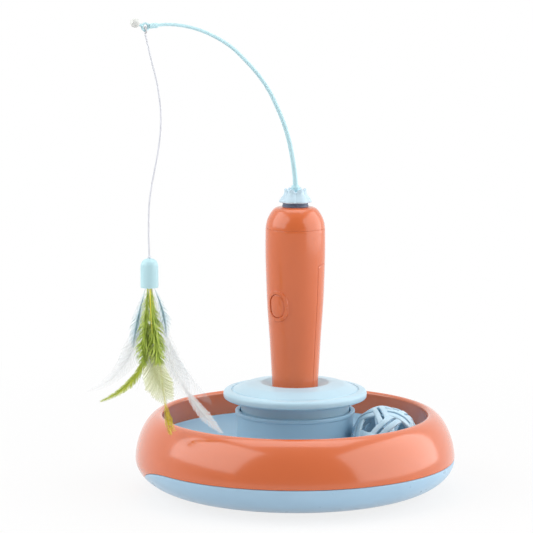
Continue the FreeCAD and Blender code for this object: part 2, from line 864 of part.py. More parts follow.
def cell_contacts():
    """One bridge plate under both cells and two plates above them."""
    half = contact_width / 2
    low = cell_bottom - contact_thick
    plates = [box((-half, half), (-cell_spacing / 2 - half, cell_spacing / 2 + half), (low, cell_bottom))]
    for spot in cell_places():
        span = (spot.y - contact_thin_width / 2, spot.y + contact_thin_width / 2)
        plates.append(box((-half, half), span, (cell_top, cell_top + contact_thick)))
    return Part.makeCompound(plates)


# Gear train: the motor's pinion, two stepped gears and the wheel on the output shaft.
# Gears on the handle's axis and on the motor's axis take turns, from the bottom up.

plate_top = plate_bottom + plate_thick
pinion_bottom = plate_top + gear_stack_gap
low_wheel_bottom = pinion_bottom + gear_stack_gap
low_pinion_top = low_wheel_bottom + wheel_face + pinion_face
high_wheel_bottom = pinion_bottom + pinion_face + gear_stack_gap
high_pinion_top = high_wheel_bottom + wheel_face + pinion_face
output_wheel_bottom = low_pinion_top + gear_stack_gap
motor_axis = Vector(-gear_offset, 0, 0)


def gear(teeth, low, high, phase, middle=Vector(0, 0, 0)):
    """A spur gear; phase is where a tooth points, in tooth pitches."""
    pitch_radius = gear_module * teeth / 2
    tip, root = pitch_radius + gear_module * 0.9, pitch_radius - gear_module * 1.2
    pitch = 2 * math.pi / teeth
    half_pitch_width = pitch / 4 - gear_backlash / 2 / pitch_radius / 2
    slant = math.tan(math.radians(20))
    half_tip = half_pitch_width - (tip - pitch_radius) * slant / pitch_radius
    half_root = half_pitch_width + (pitch_radius - root) * slant / pitch_radius * 0.6
    points = []
    for i in range(teeth):
        mid = (i + phase) * pitch
        for radius, half in ((root, -half_root), (tip, -half_tip), (tip, half_tip), (root, half_root)):
            points.append(Vector(radius * math.cos(mid + half), radius * math.sin(mid + half), low) + middle)
    face = Part.Face(Part.Wire(Part.makePolygon(points + points[:1])))
    return face.extrude(Vector(0, 0, high - low))


def stepped_gear(low, phase, middle):
    """A wheel with a pinion on top, bored for its pin."""
    wheel = gear(wheel_teeth, low, low + wheel_face, phase, middle)
    pinion = gear(pinion_teeth, low + wheel_face, low + wheel_face + pinion_face, 0, middle)
    return wheel.fuse(pinion).cut(tube(pin_radius + pin_gap, 0, low, low + wheel_face + pinion_face, middle))


def gear_train():
    """The four moving gears; every mesh has a tooth of one facing a gap of the other."""
    # Each pinion has a tooth that points along X both ways, so the wheels are turned by half a tooth
    top = pinion_bottom + pinion_face
    motor_pinion = gear(pinion_teeth, pinion_bottom, top, 0, motor_axis)
    motor_pinion = motor_pinion.cut(tube(motor_shaft_radius, 0, pinion_bottom, top, motor_axis))
    low = stepped_gear(low_wheel_bottom, 0.5, Vector(0, 0, 0))
    high = stepped_gear(high_wheel_bottom, 0.5, motor_axis)
    output = gear(wheel_teeth, output_wheel_bottom, output_wheel_bottom + wheel_face, 0.5)
    output = output.cut(tube(shaft_radius, 0, output_wheel_bottom, output_wheel_bottom + wheel_face))
    return motor_pinion, low, high, output


def motor():
    """Flat-sided can with its front boss and rear cap, hung under the gear plate."""
    low = plate_bottom - motor_length
    can = tube(motor_width / 2, 0, low, plate_bottom, motor_axis)
    flats = box(
        (motor_axis.x - motor_flat / 2, motor_axis.x + motor_flat / 2),
        (-motor_width / 2, motor_width / 2),
        (low, plate_bottom),
    )
    boss = tube(motor_boss_radius, 0, plate_bottom, plate_bottom + motor_boss_height, motor_axis)
    return can.common(flats).fuse(boss).fuse(tube(motor_width / 3, 0, low - motor_cap_length, low, motor_axis))


def motor_shaft():
    """Thin shaft that carries the pinion."""
    low, high = plate_bottom + motor_boss_height, pinion_bottom + pinion_face
    return tube(motor_shaft_radius, 0, low, high, motor_axis)


def gearbox_base():
    """Plate on the handle's ledge with three posts and the holes for motor and pin."""
    plate = tube(plate_radius, 0, plate_bottom, plate_top)
    boss_top = plate_bottom + motor_boss_height
    plate = plate.cut(tube(motor_boss_radius + thread_clearance, 0, plate_bottom, boss_top, motor_axis))
    plate = plate.cut(tube(motor_shaft_radius + gear_stack_gap, 0, plate_bottom, plate_top, motor_axis))
    plate = plate.cut(tube(pin_radius, 0, plate_bottom, plate_top))
    for heading in post_headings:
        spot = polar(heading, post_circle)
        plate = plate.fuse(tube(post_radius, 0, plate_top, lid_bottom, spot))
    hole_foot = lid_bottom - lid_screw_length + plate_thick
    for heading in post_headings:
        spot = polar(heading, post_circle)
        plate = plate.cut(tube(lid_screw_radius + thread_clearance, 0, hole_foot, lid_bottom, spot))
    return plate


def gearbox_lid():
    """Upper plate that holds the second pin and steadies the output shaft."""
    top = lid_bottom + plate_thick
    lid = tube(lid_radius, shaft_radius + shaft_gap, lid_bottom, top)
    lid = lid.cut(tube(pin_radius, 0, lid_bottom, top, motor_axis))
    for heading in post_headings:
        spot = polar(heading, post_circle)
        lid = lid.cut(tube(lid_screw_radius + thread_clearance, 0, lid_bottom, top, spot))
    return lid


def gearbox_screws():
    """Three small screws through the lid."""
    seat = lid_bottom + plate_thick
    screws = []
    for heading in post_headings:
        spot = polar(heading, post_circle)
        head = tube(lid_screw_head_radius, 0, seat, seat + lid_screw_head_thick, spot)
        screws.append(head.fuse(tube(lid_screw_radius, 0, seat - lid_screw_length, seat, spot)))
    return Part.makeCompound(screws)


def handle_head():
    """Dome with a spigot into the handle and a boss for the shaft's bush."""
    split = head_line[0][1]
    top = head_line[-1][1]
    spigot = bore_at(split - head_spigot) - head_spigot_gap
    bush_foot = top - bush_length
    return turned(profile(
        (bush_radius, bush_foot),
        (head_boss_radius, bush_foot),
        (head_boss_radius, top - head_wall),
        (head_crown_bore_radius, top - head_wall),
        (head_crown_bore_radius, head_bore_top),
        (head_bore_radius, head_bore_top),
        (head_bore_radius, split - head_spigot),
        (spigot, split - head_spigot),
        (spigot, split),
        *head_line,
        (bush_radius, top),
    ))


def lead_wires():
    """Two leads from the board's top edge to the motor's flat side."""
    terminal = plate_bottom - motor_length + motor_terminal_height
    leads = []
    for side in (-lead_spacing, lead_spacing):
        start = Vector(board_face - board_thick / 2, side, board_top + lead_radius)
        way = Vector(motor_axis.x + motor_flat / 2 + lead_radius, side, terminal) - start
        leads.append(Part.makeCylinder(lead_radius, way.Length, start, way))
    return Part.makeCompound(leads)


# Rotor

collar_top = head_line[-1][1] + collar_thick
crown_bottom = collar_top + collar_gap


def crown_cap():
    """Leaf crown: six petals round a core, flared to a scalloped skirt at the bottom."""
    skirt, waist = crown_skirt_radius, crown_waist_radius
    inner = crown_core_radius - 0.6
    outline = [
        (skirt, 0), (skirt - 0.2, 1.6), (waist, crown_waist_height), (waist - 0.2, crown_height - 1.0),
        (waist - 0.9, crown_height), (inner, crown_height - 0.6), (inner, 0),
    ]
    face = Part.Face(Part.Wire(Part.makePolygon([at(r, z + crown_bottom) for r, z in outline + outline[:1]])))
    petal = face.extrude(Vector(0, crown_petal_width, 0))
    petal.translate(Vector(0, -crown_petal_width / 2, 0))
    crown = tube(crown_core_radius, 0, crown_bottom, crown_bottom + crown_core_height)
    for i in range(crown_petals):
        turn = petal.copy()
        turn.rotate(Vector(0, 0, 0), Vector(0, 0, 1), arm_heading + 360 / crown_petals * (i + 0.5))
        crown = crown.fuse(turn)
    crown = crown.cut(tube(shaft_radius, 0, crown_bottom, shaft_top))
    return crown.cut(tube(sleeve_radius, 0, shaft_top, crown_bottom + crown_height))


def arm_sleeve():
    """Short sleeve in the crown that grips the arm's root."""
    return tube(sleeve_radius, arm_base_radius, shaft_top, shaft_top + sleeve_length)


def in_arm_plane(reach, height):
    """A place by its reach along the arm's heading and its height."""
    return polar(arm_heading, reach) + Vector(0, 0, height)


def teaser_arm():
    """Springy rod, thinner towards its tip."""
    spots = [in_arm_plane(*p) for p in arm_line]
    rings = []
    for i, spot in enumerate(spots):
        way = spots[min(i + 1, len(spots) - 1)] - spots[max(i - 1, 0)]
        if i <= 1:
            way = Vector(0, 0, 1)
        share = i / (len(spots) - 1)
        radius = arm_base_radius + (arm_tip_radius - arm_base_radius) * share
        if i == 1:
            radius = arm_base_radius
        ring = Part.Wire(Part.makeCircle(radius))
        ring.Placement = FreeCAD.Placement(spot, FreeCAD.Rotation(Vector(0, 0, 1), way))
        rings.append(ring)
    return upright(Part.makeLoft(rings, True, True))


eyelet_middle = in_arm_plane(eyelet_reach, eyelet_height)
arm_across = polar(arm_heading + 90, 1)


def tip_eyelet():
    """Ring at the arm's end with the sleeve that grips the arm and a peg for the knob."""
    half = arm_across * (eyelet_thick / 2)
    ring = Part.makeCylinder(eyelet_radius, eyelet_thick, eyelet_middle - half, arm_across)
    arm_end, before = in_arm_plane(*arm_line[-1]), in_arm_plane(*arm_line[-2])
    way = arm_end - before
    way.normalize()
    start = arm_end - way * eyelet_sleeve_length
    reach = (eyelet_middle - start).dot(way) - eyelet_hole
    sleeve = Part.makeCylinder(eyelet_sleeve_radius, reach, start, way)
    peg = Part.makeCylinder(eyelet_peg_radius, eyelet_peg_length, eyelet_middle, peg_way())
    body = ring.fuse(sleeve).fuse(peg)
    body = body.cut(Part.makeCylinder(eyelet_hole, 4 * eyelet_thick, eyelet_middle - half * 4, arm_across))
    return body.cut(teaser_arm())


def peg_way():
    """The direction of the knob from the eyelet."""
    slope = math.radians(knob_slope)
    return polar(arm_heading, math.cos(slope)) + Vector(0, 0, math.sin(slope))


def tip_knob():
    """Off-white end knob on the peg."""
    low, high = -knob_length / 2, knob_length / 2
    shoulder, end = knob_length / 4, knob_radius * 0.6
    knob = turned(profile(
        (0, low), (end, low), (knob_radius, -shoulder), (knob_radius, shoulder), (end, high), (0, high),
    ))
    peg_end = knob_reach - knob_length / 2
    knob = knob.cut(Part.makeCylinder(eyelet_peg_radius, eyelet_peg_length - peg_end, Vector(0, 0, low)))
    tilt = FreeCAD.Rotation(Vector(0, 0, 1), peg_way())
    knob.Placement = FreeCAD.Placement(eyelet_middle + peg_way() * knob_reach, tilt)
    return knob


def cord_loop():
    """Small link through the eyelet that lets the lure swing."""
    outer = loop_inner + loop_wire
    top = eyelet_height + loop_wire / 2 - outer
    low = eyelet_height - loop_drop - loop_wire / 2 + outer
    away = polar(arm_heading, 1)

    def ring(radius):
        c_top = Vector(eyelet_middle.x, eyelet_middle.y, top) - away * (loop_wire / 2)
        c_low = Vector(eyelet_middle.x, eyelet_middle.y, low) - away * (loop_wire / 2)
        side, up = arm_across * radius, Vector(0, 0, radius)
        edges = [
            Part.Arc(c_top + side, c_top + up, c_top - side).toShape(),
            Part.makeLine(c_top - side, c_low - side),
            Part.Arc(c_low - side, c_low - up, c_low + side).toShape(),
            Part.makeLine(c_low + side, c_top + side),
        ]
        return Part.Face(Part.Wire(edges)).extrude(away * loop_wire)

    return upright(ring(outer).cut(ring(loop_inner)))


# Lure

capsule_x, capsule_y, capsule_top = cord_route[-1]
capsule_foot = capsule_top - capsule_length


def feather_capsule():
    """Domed capsule, open at the bottom, with a hole for the cord's knot."""
    r, bore, dome = capsule_radius, capsule_radius - capsule_wall, capsule_dome
    shell = turned(profile(
        (0, capsule_top),
        (r * 0.4, capsule_top),
        *bend_points((r * 0.4, capsule_top), (r * 0.8, capsule_top - dome * 0.35), (r, capsule_top - dome), 2),
        (r, capsule_foot),
        (bore, capsule_foot),
        (bore, capsule_top - dome),
        (0, capsule_top - dome),
    ))
    shell.translate(Vector(capsule_x, capsule_y, 0))
    return shell


def capsule_plug():
    """Plug in the capsule's mouth that grips the quills."""
    low = capsule_foot + plug_inset
    return tube(capsule_radius - capsule_wall, 0, low, low + plug_thick, Vector(capsule_x, capsule_y, 0))


def skinned(rings):
    """A solid of flat three-sided faces over rings of points, closed at both ends."""
    corners = []
    for low, high in zip(rings, rings[1:]):
        for i in range(len(low)):
            j = (i + 1) % len(low)
            corners += [(low[i], low[j], high[j]), (low[i], high[j], high[i])]
    for ring in (rings[0], rings[-1]):
        corners += [(ring[0], ring[i], ring[i + 1]) for i in range(1, len(ring) - 1)]
    faces = [Part.Face(Part.Wire(Part.makePolygon([a, b, c, a]))) for a, b, c in corners]
    shell = Part.makeShell(faces)
    shell.sewShape()
    return upright(Part.makeSolid(shell))


def feather(root, pull, tip, half_width, widest):
    """A thin blade with a quill, along a bent middle line."""
    a, b, c = Vector(*root), Vector(*pull), Vector(*tip)
    b = (b - (a + c) * 0.25) * 2
    rings = []
    for i in range(feather_steps + 1):
        t = i / feather_steps
        spot = a * (1 - t) ** 2 + b * (2 * t * (1 - t)) + c * t**2
        way = (b - a) * (1 - t) + (c - b) * t
        across = way.cross(Vector(0, 1, 0))
        across.normalize()
        rise = t / widest if t < widest else (1 - t) / (1 - widest)
        half = quill_radius + (half_width - quill_radius) * math.sin(math.pi / 2 * rise) ** 1.3
        half = min(half, half_width) if i < feather_steps else quill_radius * 0.6
        thick = Vector(0, feather_thick / 2 * (1 - 0.5 * t), 0)
        ring = [spot + across * half, spot + thick, spot - across * half, spot - thick]
        if i == 0:
            ring = [Vector(p.x, p.y, a.z) for p in ring]
        rings.append(ring)
    blade = skinned(rings)
    blade.translate(Vector(capsule_x, capsule_y, capsule_foot + plug_inset))
    return blade


def feathers(blades):
    """One colour's feathers as separate blades."""
    return Part.makeCompound([feather(*blade) for blade in blades])


bowl = bowl_shell()
save("rubber_feet", rubber_feet())
save("base_tray", base_tray(bowl))
save("base_screws", base_screws())
save("track_trough", track_trough())
save("track_ring", track_ring(bowl))
save("top_disc", top_disc())

ball_rest_height = track_floor + ball_rest_gap + ball_radius
ball_middle = polar(ball_heading, ball_orbit_radius) + Vector(0, 0, ball_rest_height)
low_corner = math.sqrt(ball_radius**2 - (band_width / 2) ** 2) - ball_weave - ball_strip_thick
bell_floor = low_corner * math.cos(math.radians(ball_weave_rise)) - bell_gap
bell_middle = ball_middle - Vector(0, 0, bell_floor - bell_radius)
save("lattice_ball", lattice_ball(ball_middle))
save("bell", bell(bell_middle))

shell = handle_shell()
motor_pinion, reduction_gear_low, reduction_gear_high, output_gear = gear_train()
bush_bottom = head_line[-1][1] - bush_length
for name, piece in (
    ("handle_body", handle_body(shell)),
    ("battery_cover", battery_cover(shell)),
    ("handle_head", handle_head()),
    ("power_button", power_button()),
    ("switch_plunger", switch_plunger()),
    ("tact_switch", tact_switch()),
    ("switch_board", switch_board()),
    ("battery_holder", battery_holder()),
    ("battery_cells", battery_cells()),
    ("cell_contacts", cell_contacts()),
    ("motor", motor()),
    ("motor_shaft", motor_shaft()),
    ("motor_pinion", motor_pinion),
    ("reduction_gear_low", reduction_gear_low),
    ("reduction_gear_high", reduction_gear_high),
    ("output_gear", output_gear),
    ("gear_pin_low", tube(pin_radius, 0, plate_bottom, low_pinion_top)),
    ("gear_pin_high", tube(pin_radius, 0, high_wheel_bottom, lid_bottom + plate_thick, motor_axis)),
    ("gearbox_base", gearbox_base()),
    ("gearbox_lid", gearbox_lid()),
    ("gearbox_screws", gearbox_screws()),
    ("lead_wires", lead_wires()),
    ("shaft_bush", tube(bush_radius, shaft_radius + shaft_gap, bush_bottom, bush_bottom + bush_length)),
):
    save(name, handle_turned(piece))

save("shaft_collar", tube(collar_radius, shaft_radius + socket_gap, head_line[-1][1], collar_top))
save("output_shaft", tube(shaft_radius, 0, output_wheel_bottom, shaft_top))
save("crown_cap", crown_cap())
save("arm_sleeve", arm_sleeve())
save("teaser_arm", teaser_arm())
save("tip_eyelet", tip_eyelet())
save("tip_knob", tip_knob())
save("cord_loop", cord_loop())
save("lure_cord", swept("lure cord", cord_route, cord_radius))
save("feather_capsule", feather_capsule())
save("capsule_plug", capsule_plug())
save("blue_feathers", feathers(blue_blades))
save("white_feathers", feathers(white_blades))
save("yellow_feathers", feathers(yellow_blades))
save("green_feathers", feathers(green_blades))
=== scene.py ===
import math
import bmesh
import bpy
from mathutils import Matrix, Vector


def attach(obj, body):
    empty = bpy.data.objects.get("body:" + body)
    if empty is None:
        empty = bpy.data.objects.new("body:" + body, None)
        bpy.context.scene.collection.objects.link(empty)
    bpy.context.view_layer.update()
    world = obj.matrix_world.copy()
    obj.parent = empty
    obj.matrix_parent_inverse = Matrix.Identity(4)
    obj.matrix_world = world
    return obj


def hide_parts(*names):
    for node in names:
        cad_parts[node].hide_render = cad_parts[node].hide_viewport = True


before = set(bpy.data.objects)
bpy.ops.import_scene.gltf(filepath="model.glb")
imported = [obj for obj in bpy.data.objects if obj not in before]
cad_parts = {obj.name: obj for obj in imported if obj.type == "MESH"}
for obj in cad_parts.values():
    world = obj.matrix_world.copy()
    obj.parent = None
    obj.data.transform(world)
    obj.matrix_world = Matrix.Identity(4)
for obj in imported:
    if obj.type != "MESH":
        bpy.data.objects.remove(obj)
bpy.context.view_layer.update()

# Tray: the pale blue bowl that the toy stands on, injection moulded in one piece.
# Its wall ends at a part line under the orange rim, and on the left that line dips in a long wave.
# Five pad pockets and four screw wells are sunk in its underside.
mm = 0.001
tray_floor = 2.2 * mm
tray_floor_radius = 83.2 * mm
dish_radius = 120.8 * mm
seam_height = 25.7 * mm
dish_wall = 2.4 * mm
seam_gap = 0.12 * mm
seam_round = 0.35 * mm
wave_half_width = 76 * mm
wave_depth = 15.7 * mm
pad_reach, pad_pocket_radius, pad_pocket_top = 70, 8.1, 3.0
screw_reach, screw_well_radius, screw_well_top = 41.012, 3.15, 4.2
sides = (1, -1)
screw_spots = [(screw_reach * x, screw_reach * y) for x in sides for y in sides]


def srgb(red, green, blue):
    """A colour as seen on a screen, in the linear values a shader takes."""
    shares = [value / 255 for value in (red, green, blue)]
    return [s / 12.92 if s <= 0.04045 else ((s + 0.055) / 1.055) ** 2.4 for s in shares] + [1]


def node_kit(tree):
    """Two short ways for a node tree: one adds a node, and one feeds or sets an input."""
    def feed(socket, value):
        if isinstance(value, bpy.types.NodeSocket):
            tree.links.new(value, socket)
        elif value is not None:
            socket.default_value = value

    def add(kind, *values, **named):
        """Inputs in order or by capital name, settings by small name; gives the first output."""
        node = tree.nodes.new(kind)
        for key in [key for key in named if key.islower()]:
            setattr(node, key, named.pop(key))
        for socket, value in zip([s for s in node.inputs if s.enabled], values):
            feed(socket, value)
        for key, value in named.items():
            feed(node.inputs[key.replace("_", " ")], value)
        return next((s for s in node.outputs if s.enabled), None)

    return add, feed


def material_kit(name):
    """A new material, a short way to add its nodes, and one to set or feed its shader's inputs."""
    material = bpy.data.materials.new(name)
    material.use_nodes = True
    add, feed = node_kit(material.node_tree)
    shader = material.node_tree.nodes["Principled BSDF"]

    def dress(**looks):
        for key, value in looks.items():
            feed(shader.inputs[key.replace("_", " ")], value)

    return material, add, dress


def own_place(add):
    """Coordinates that stay fixed to the piece."""
    return add("ShaderNodeTexCoord").node.outputs["Object"]


def noise(add, scale, detail, stretch=(1.0, 1.0, 1.0)):
    """Fine noise fixed to the piece, drawn out by the stretch."""
    place = add("ShaderNodeMapping", own_place(add), Scale=stretch)
    return add("ShaderNodeTexNoise", place, Scale=scale, Detail=detail)


def between(add, share, low, high):
    """A value that runs from low to high as the share runs from 0 to 1."""
    return add("ShaderNodeMapRange", share, 0.0, 1.0, low, high)


def moulded_plastic(name, colour, roughness, coat=0.0, clouding=0.03, grain=0.02):
    """Moulded plastic: faint clouding in the colour, uneven polish and a very fine grain."""
    material, add, dress = material_kit(name)
    tones = [[min(1, c * (1 + 3 * way * clouding)) for c in colour[:3]] + [1] for way in (-1, 1)]
    dress(
        Coat_Weight=coat,
        Coat_Roughness=0.1,
        Base_Color=add("ShaderNodeMix", noise(add, 24.0, 3.0), *tones, data_type="RGBA"),
        Roughness=between(add, noise(add, 110.0, 2.0), roughness - 0.06, roughness + 0.06),
        Normal=add("ShaderNodeBump", Strength=grain, Distance=0.0001, Height=noise(add, 2200.0, 1.0)),
    )
    return material


def filleted(*corners):
    """An outline from (radius, height) or (radius, height, fillet) corners, in millimetres."""
    points = []
    for i, corner in enumerate(corners):
        here = Vector(corner[:2])
        if len(corner) == 2:
            points.append(here * mm)
            continue
        back, on = (Vector(corners[k % len(corners)][:2]) - here for k in (i - 1, i + 1))
        half = back.angle(on) / 2
        reach = min(corner[2] / math.tan(half), 0.49 * back.length, 0.49 * on.length)
        back, on = back.normalized(), on.normalized()
        centre = here + (back + on).normalized() * reach / math.cos(half)
        start, end = here + back * reach - centre, here + on * reach - centre
        steps = max(2, round((math.pi - 2 * half) / math.radians(12)))
        turns = [Matrix.Rotation(-start.angle_signed(end) * k / steps, 2) for k in range(steps + 1)]
        points += [(centre + turn @ start) * mm for turn in turns]
    return points


def bridged(near, far, count):
    """Faces between two closed loops of so many points, given by the numbers of their first points."""
    pairs = [(k, (k + 1) % count) for k in range(count)]
    return [(near + a, far + a, far + b, near + b) for a, b in pairs]


def turned(outline, steps, place=None):
    """A closed outline carried round the upright axis; the outline may change with the heading."""
    points, faces = [], []
    for i in range(steps):
        heading = 2 * math.pi * i / steps
        line = outline(heading) if callable(outline) else outline
        points += [Vector((r * math.cos(heading), r * math.sin(heading), z)) for r, z in line]
    count = len(points) // steps
    for i in range(steps):
        faces += bridged(i * count, (i + 1) % steps * count, count)
    return [place @ p for p in points] if place else points, faces


def mesh_of(form, name):
    """A new mesh of what is being built."""
    mesh = bpy.data.meshes.new(name)
    form.to_mesh(mesh)
    form.free()
    return mesh


def smoothed(mesh, sharp):
    """The mesh shaded smooth but for its sharper edges."""
    mesh.polygons.foreach_set("use_smooth", [True] * len(mesh.polygons))
    mesh.set_sharp_from_angle(angle=math.radians(sharp))
    return mesh


def solid_mesh(name, *shapes, sharp=32):
    """One smooth mesh from lists of points and faces, its doubles merged and its faces outward."""
    form = bmesh.new()
    for points, faces in shapes:
        spots = [form.verts.new(p) for p in points]
        for face in faces:
            form.faces.new([spots[i] for i in face])
    bmesh.ops.remove_doubles(form, verts=form.verts, dist=0.001 * mm)
    bmesh.ops.recalc_face_normals(form, faces=form.faces)
    return smoothed(mesh_of(form, name), sharp)


def lathed(name, outline, steps=192, place=None, sharp=32):
    """One smooth mesh from a closed outline carried round the upright axis."""
    return solid_mesh(name, turned(outline, steps, place), sharp=sharp)


def set_down(name, data):
    """An object for a mesh, curve, lamp or camera, in the scene."""
    thing = bpy.data.objects.new(name, data)
    bpy.context.scene.collection.objects.link(thing)
    return thing


def painted(mesh, material):
    """The mesh or curve in one finish."""
    mesh.materials.clear()
    mesh.materials.append(material)
    return mesh


def fitted(name, mesh, material, body, nodes):
    """A finished piece that rides on its body and stands for its solids, if it has any."""
    piece = set_down(name, painted(mesh, material))
    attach(piece, body)
    if nodes:
        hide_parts(*nodes)


def plain_mesh(thing):
    """What an object's modifiers or curve settings make, as a mesh of its own; the object goes."""
    bpy.context.view_layer.update()
    mesh = bpy.data.meshes.new_from_object(thing.evaluated_get(bpy.context.evaluated_depsgraph_get()))
    bpy.data.objects.remove(thing)
    return mesh


def bored(mesh, *cutters):
    """The mesh less the closed cutters."""
    body, tool = set_down("bored", mesh), set_down("cutter", solid_mesh("cutter", *cutters))
    cut = body.modifiers.new("cut", "BOOLEAN")
    cut.operation, cut.object, cut.solver = "DIFFERENCE", tool, "EXACT"
    result = plain_mesh(body)
    bpy.data.objects.remove(tool)
    return smoothed(result, 32)


def upright(x, y):
    """A place on the ground for an upright axis, from millimetres."""
    return Matrix.Translation((x * mm, y * mm, 0))


def pin(radius, low, high, x, y):
    """An upright closed cylinder, in millimetres."""
    section = ((0, low), (radius, low), (radius, high), (0, high))
    return turned([(r * mm, z * mm) for r, z in section], 48, upright(x, y))


def tray_radius(height, inset=0.0):
    """Radius of the tray's elliptic wall at a height, straight above the part line."""
    drop = max(0, min(1, (seam_height - height) / (seam_height - tray_floor - inset)))
    return tray_floor_radius + (dish_radius - tray_floor_radius - inset) * math.sqrt(1 - drop**2)


def seam_at(heading):
    """Height of the part line at a heading: level, but for the wave on the left."""
    height = seam_height
    if math.cos(heading) >= 0:
        return height
    wave_radius = (wave_half_width**2 + wave_depth**2) / (4 * wave_depth)
    for _ in range(5):
        y = min(abs(tray_radius(height) * math.sin(heading)), wave_half_width)
        if y <= wave_half_width / 2:
            height = seam_height - wave_depth + wave_radius - math.sqrt(wave_radius**2 - y**2)
        else:
            height = seam_height - wave_radius + math.sqrt(wave_radius**2 - (wave_half_width - y) ** 2)
    return height


def seam_lip(edge, height, way):
    """The softened edge at the part line from outside in, for the piece above it (1) or below it (-1)."""
    return [(edge - 0.1 * mm, height + way * 0.1 * mm), (edge - 0.4 * mm, height), (edge - dish_wall, height)]


def tray_section(heading):
    """The tray's section: flat floor, curved wall and a softened top edge."""
    top = seam_at(heading) - seam_gap
    wall = top - seam_round - tray_floor
    heights = [tray_floor + wall * (1 - math.cos(math.radians(90 * i / 28))) for i in range(29)]
    outside = [(0, tray_floor), (0.95 * tray_floor_radius, tray_floor)]
    outside += [(tray_radius(z), z) for z in heights]
    lip = seam_lip(tray_radius(top), top, -1)
    heights = [top - (top - tray_floor - dish_wall) * i / 12 for i in range(1, 13)]
    inside = [(tray_radius(z, dish_wall), z) for z in heights]
    return outside + lip + inside + [(0, tray_floor + dish_wall)]


tray_blue = moulded_plastic("tray_blue", srgb(166, 200, 224), 0.3, coat=0.1)
pad_spots = [(pad_reach * x, pad_reach * y) for x, y in ((1, 0), (0, 1), (-1, 0), (0, -1), (0, 0))]
pockets = [pin(pad_pocket_radius, -1, pad_pocket_top, *spot) for spot in pad_spots]
wells = [pin(screw_well_radius, -1, screw_well_top, *spot) for spot in screw_spots]
tray = bored(lathed("tray", tray_section, 240), *pockets, *wells)
fitted("tray", tray, tray_blue, "base", ["base_tray"])

# Pads and screws: five soft rubber pads glued in the pockets, and four steel screws in the wells.
# They keep the frame's own solids, and show only from below.
rubber, add, dress = material_kit("pad_rubber")
dress(
    Base_Color=srgb(58, 58, 60),
    Roughness=0.8,
    Normal=add("ShaderNodeBump", Strength=0.3, Distance=0.0002, Height=noise(add, 900.0, 3.0)),
)


def grained(name, colour, roughness, metal=0.0, drawn=False):
    """A plain finish with a fine grain; drawn metal is finely scratched round the upright axis."""
    material, add, dress = material_kit(name)
    grain = noise(add, 700.0, 2.0, (1.0, 1.0, 30.0)) if drawn else noise(add, 900.0, 2.0)
    low, high = (0.1, 0.12) if drawn else (0.08, 0.08)
    dress(Base_Color=colour, Metallic=metal, Roughness=between(add, grain, roughness - low, roughness + high))
    return material


def finish_solids(material, *nodes):
    """Give solids that are kept from the frame their finish."""
    for name in nodes:
        painted(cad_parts[name].data, material)


steel = grained("screw_steel", srgb(196, 197, 200), 0.3, 1.0, drawn=True)
finish_solids(rubber, "rubber_feet")
finish_solids(steel, "base_screws")

# Ball track: a round channel with the drum in its middle, one blue moulding screwed down on the tray.
# Six upright ribs inside the drum carry the cap disc, and four bosses below take the screws.
drum_rib_count = 6
drum_blue = moulded_plastic("drum_blue", srgb(166, 204, 226), 0.34, coat=0.05)


def bend(centre, radius, start, end, count):
    """Points of an arc, its angles counted in degrees from straight down, in millimetres."""
    turns = [math.radians(start + (end - start) * i / count) for i in range(count + 1)]
    return [(centre[0] + radius * math.sin(a), centre[1] - radius * math.cos(a)) for a in turns]


track_section = filleted(
    (0, 13.8), (75, 13.8), *bend((75, 46), 32.2, 8, 76, 14), (106.6, 40, 0.5), (104.4, 40, 0.5),
    *bend((75, 46), 30, 76, 4, 18), (75, 16), (49.3, 16), *bend((49.3, 21), 5, -8, -82, 8), (44.3, 21),
    (44.3, 57.6), (44.4, 58.1, 0.4), (45.3, 58.9, 0.5), (45.3, 61.5, 0.8), (42.1, 61.5, 0.5), (42.1, 16),
    (0, 16),
)


def piece_tree(name, **inputs):
    """A Geometry Nodes tree with named inputs, a short way to add its nodes, and its inputs' sockets."""
    tree = bpy.data.node_groups.new(name, "GeometryNodeTree")
    tree.interface.new_socket("Geometry", in_out="INPUT", socket_type="NodeSocketGeometry")
    for label, kind in inputs.items():
        tree.interface.new_socket(label, in_out="INPUT", socket_type="NodeSocket" + kind)
    tree.interface.new_socket("Geometry", in_out="OUTPUT", socket_type="NodeSocketGeometry")
    return tree, node_kit(tree)[0], tree.nodes.new("NodeGroupInput").outputs


def made_real(add, copies, finish):
    """The tree's end: the copies as one true mesh in their finish."""
    real = add("GeometryNodeRealizeInstances", copies)
    add("NodeGroupOutput", add("GeometryNodeSetMaterial", real, Material=finish))


def grown(mesh, tree, **values):
    """What a tree makes of a mesh, as a plain mesh."""
    holder = set_down("grown", mesh)
    maker = holder.modifiers.new("grown", "NODES")
    maker.node_group = tree
    for label, value in values.items():
        maker[tree.interface.items_tree[label].identifier] = value
    return plain_mesh(holder)


def round_tree():
    """Copies of the object's own mesh, set evenly round the upright axis."""
    tree, add, given = piece_tree("set_round", Count="Int", Heading="Float", Finish="Material")
    share = add("ShaderNodeMath", add("GeometryNodeInputIndex"), given["Count"], operation="DIVIDE")
    turn = add("ShaderNodeMath", share, 2 * math.pi, given["Heading"], operation="MULTIPLY_ADD")
    spots = add("GeometryNodeMeshLine", Count=given["Count"], Offset=(0, 0, 0))
    heading = add("ShaderNodeCombineXYZ", Z=turn)
    copies = add("GeometryNodeInstanceOnPoints", spots, Instance=given["Geometry"], Rotation=heading)
    made_real(add, copies, given["Finish"])
    return tree


def joined(name, *meshes):
    """Several meshes as one."""
    form = bmesh.new()
    for mesh in meshes:
        form.from_mesh(mesh)
    return mesh_of(form, name)


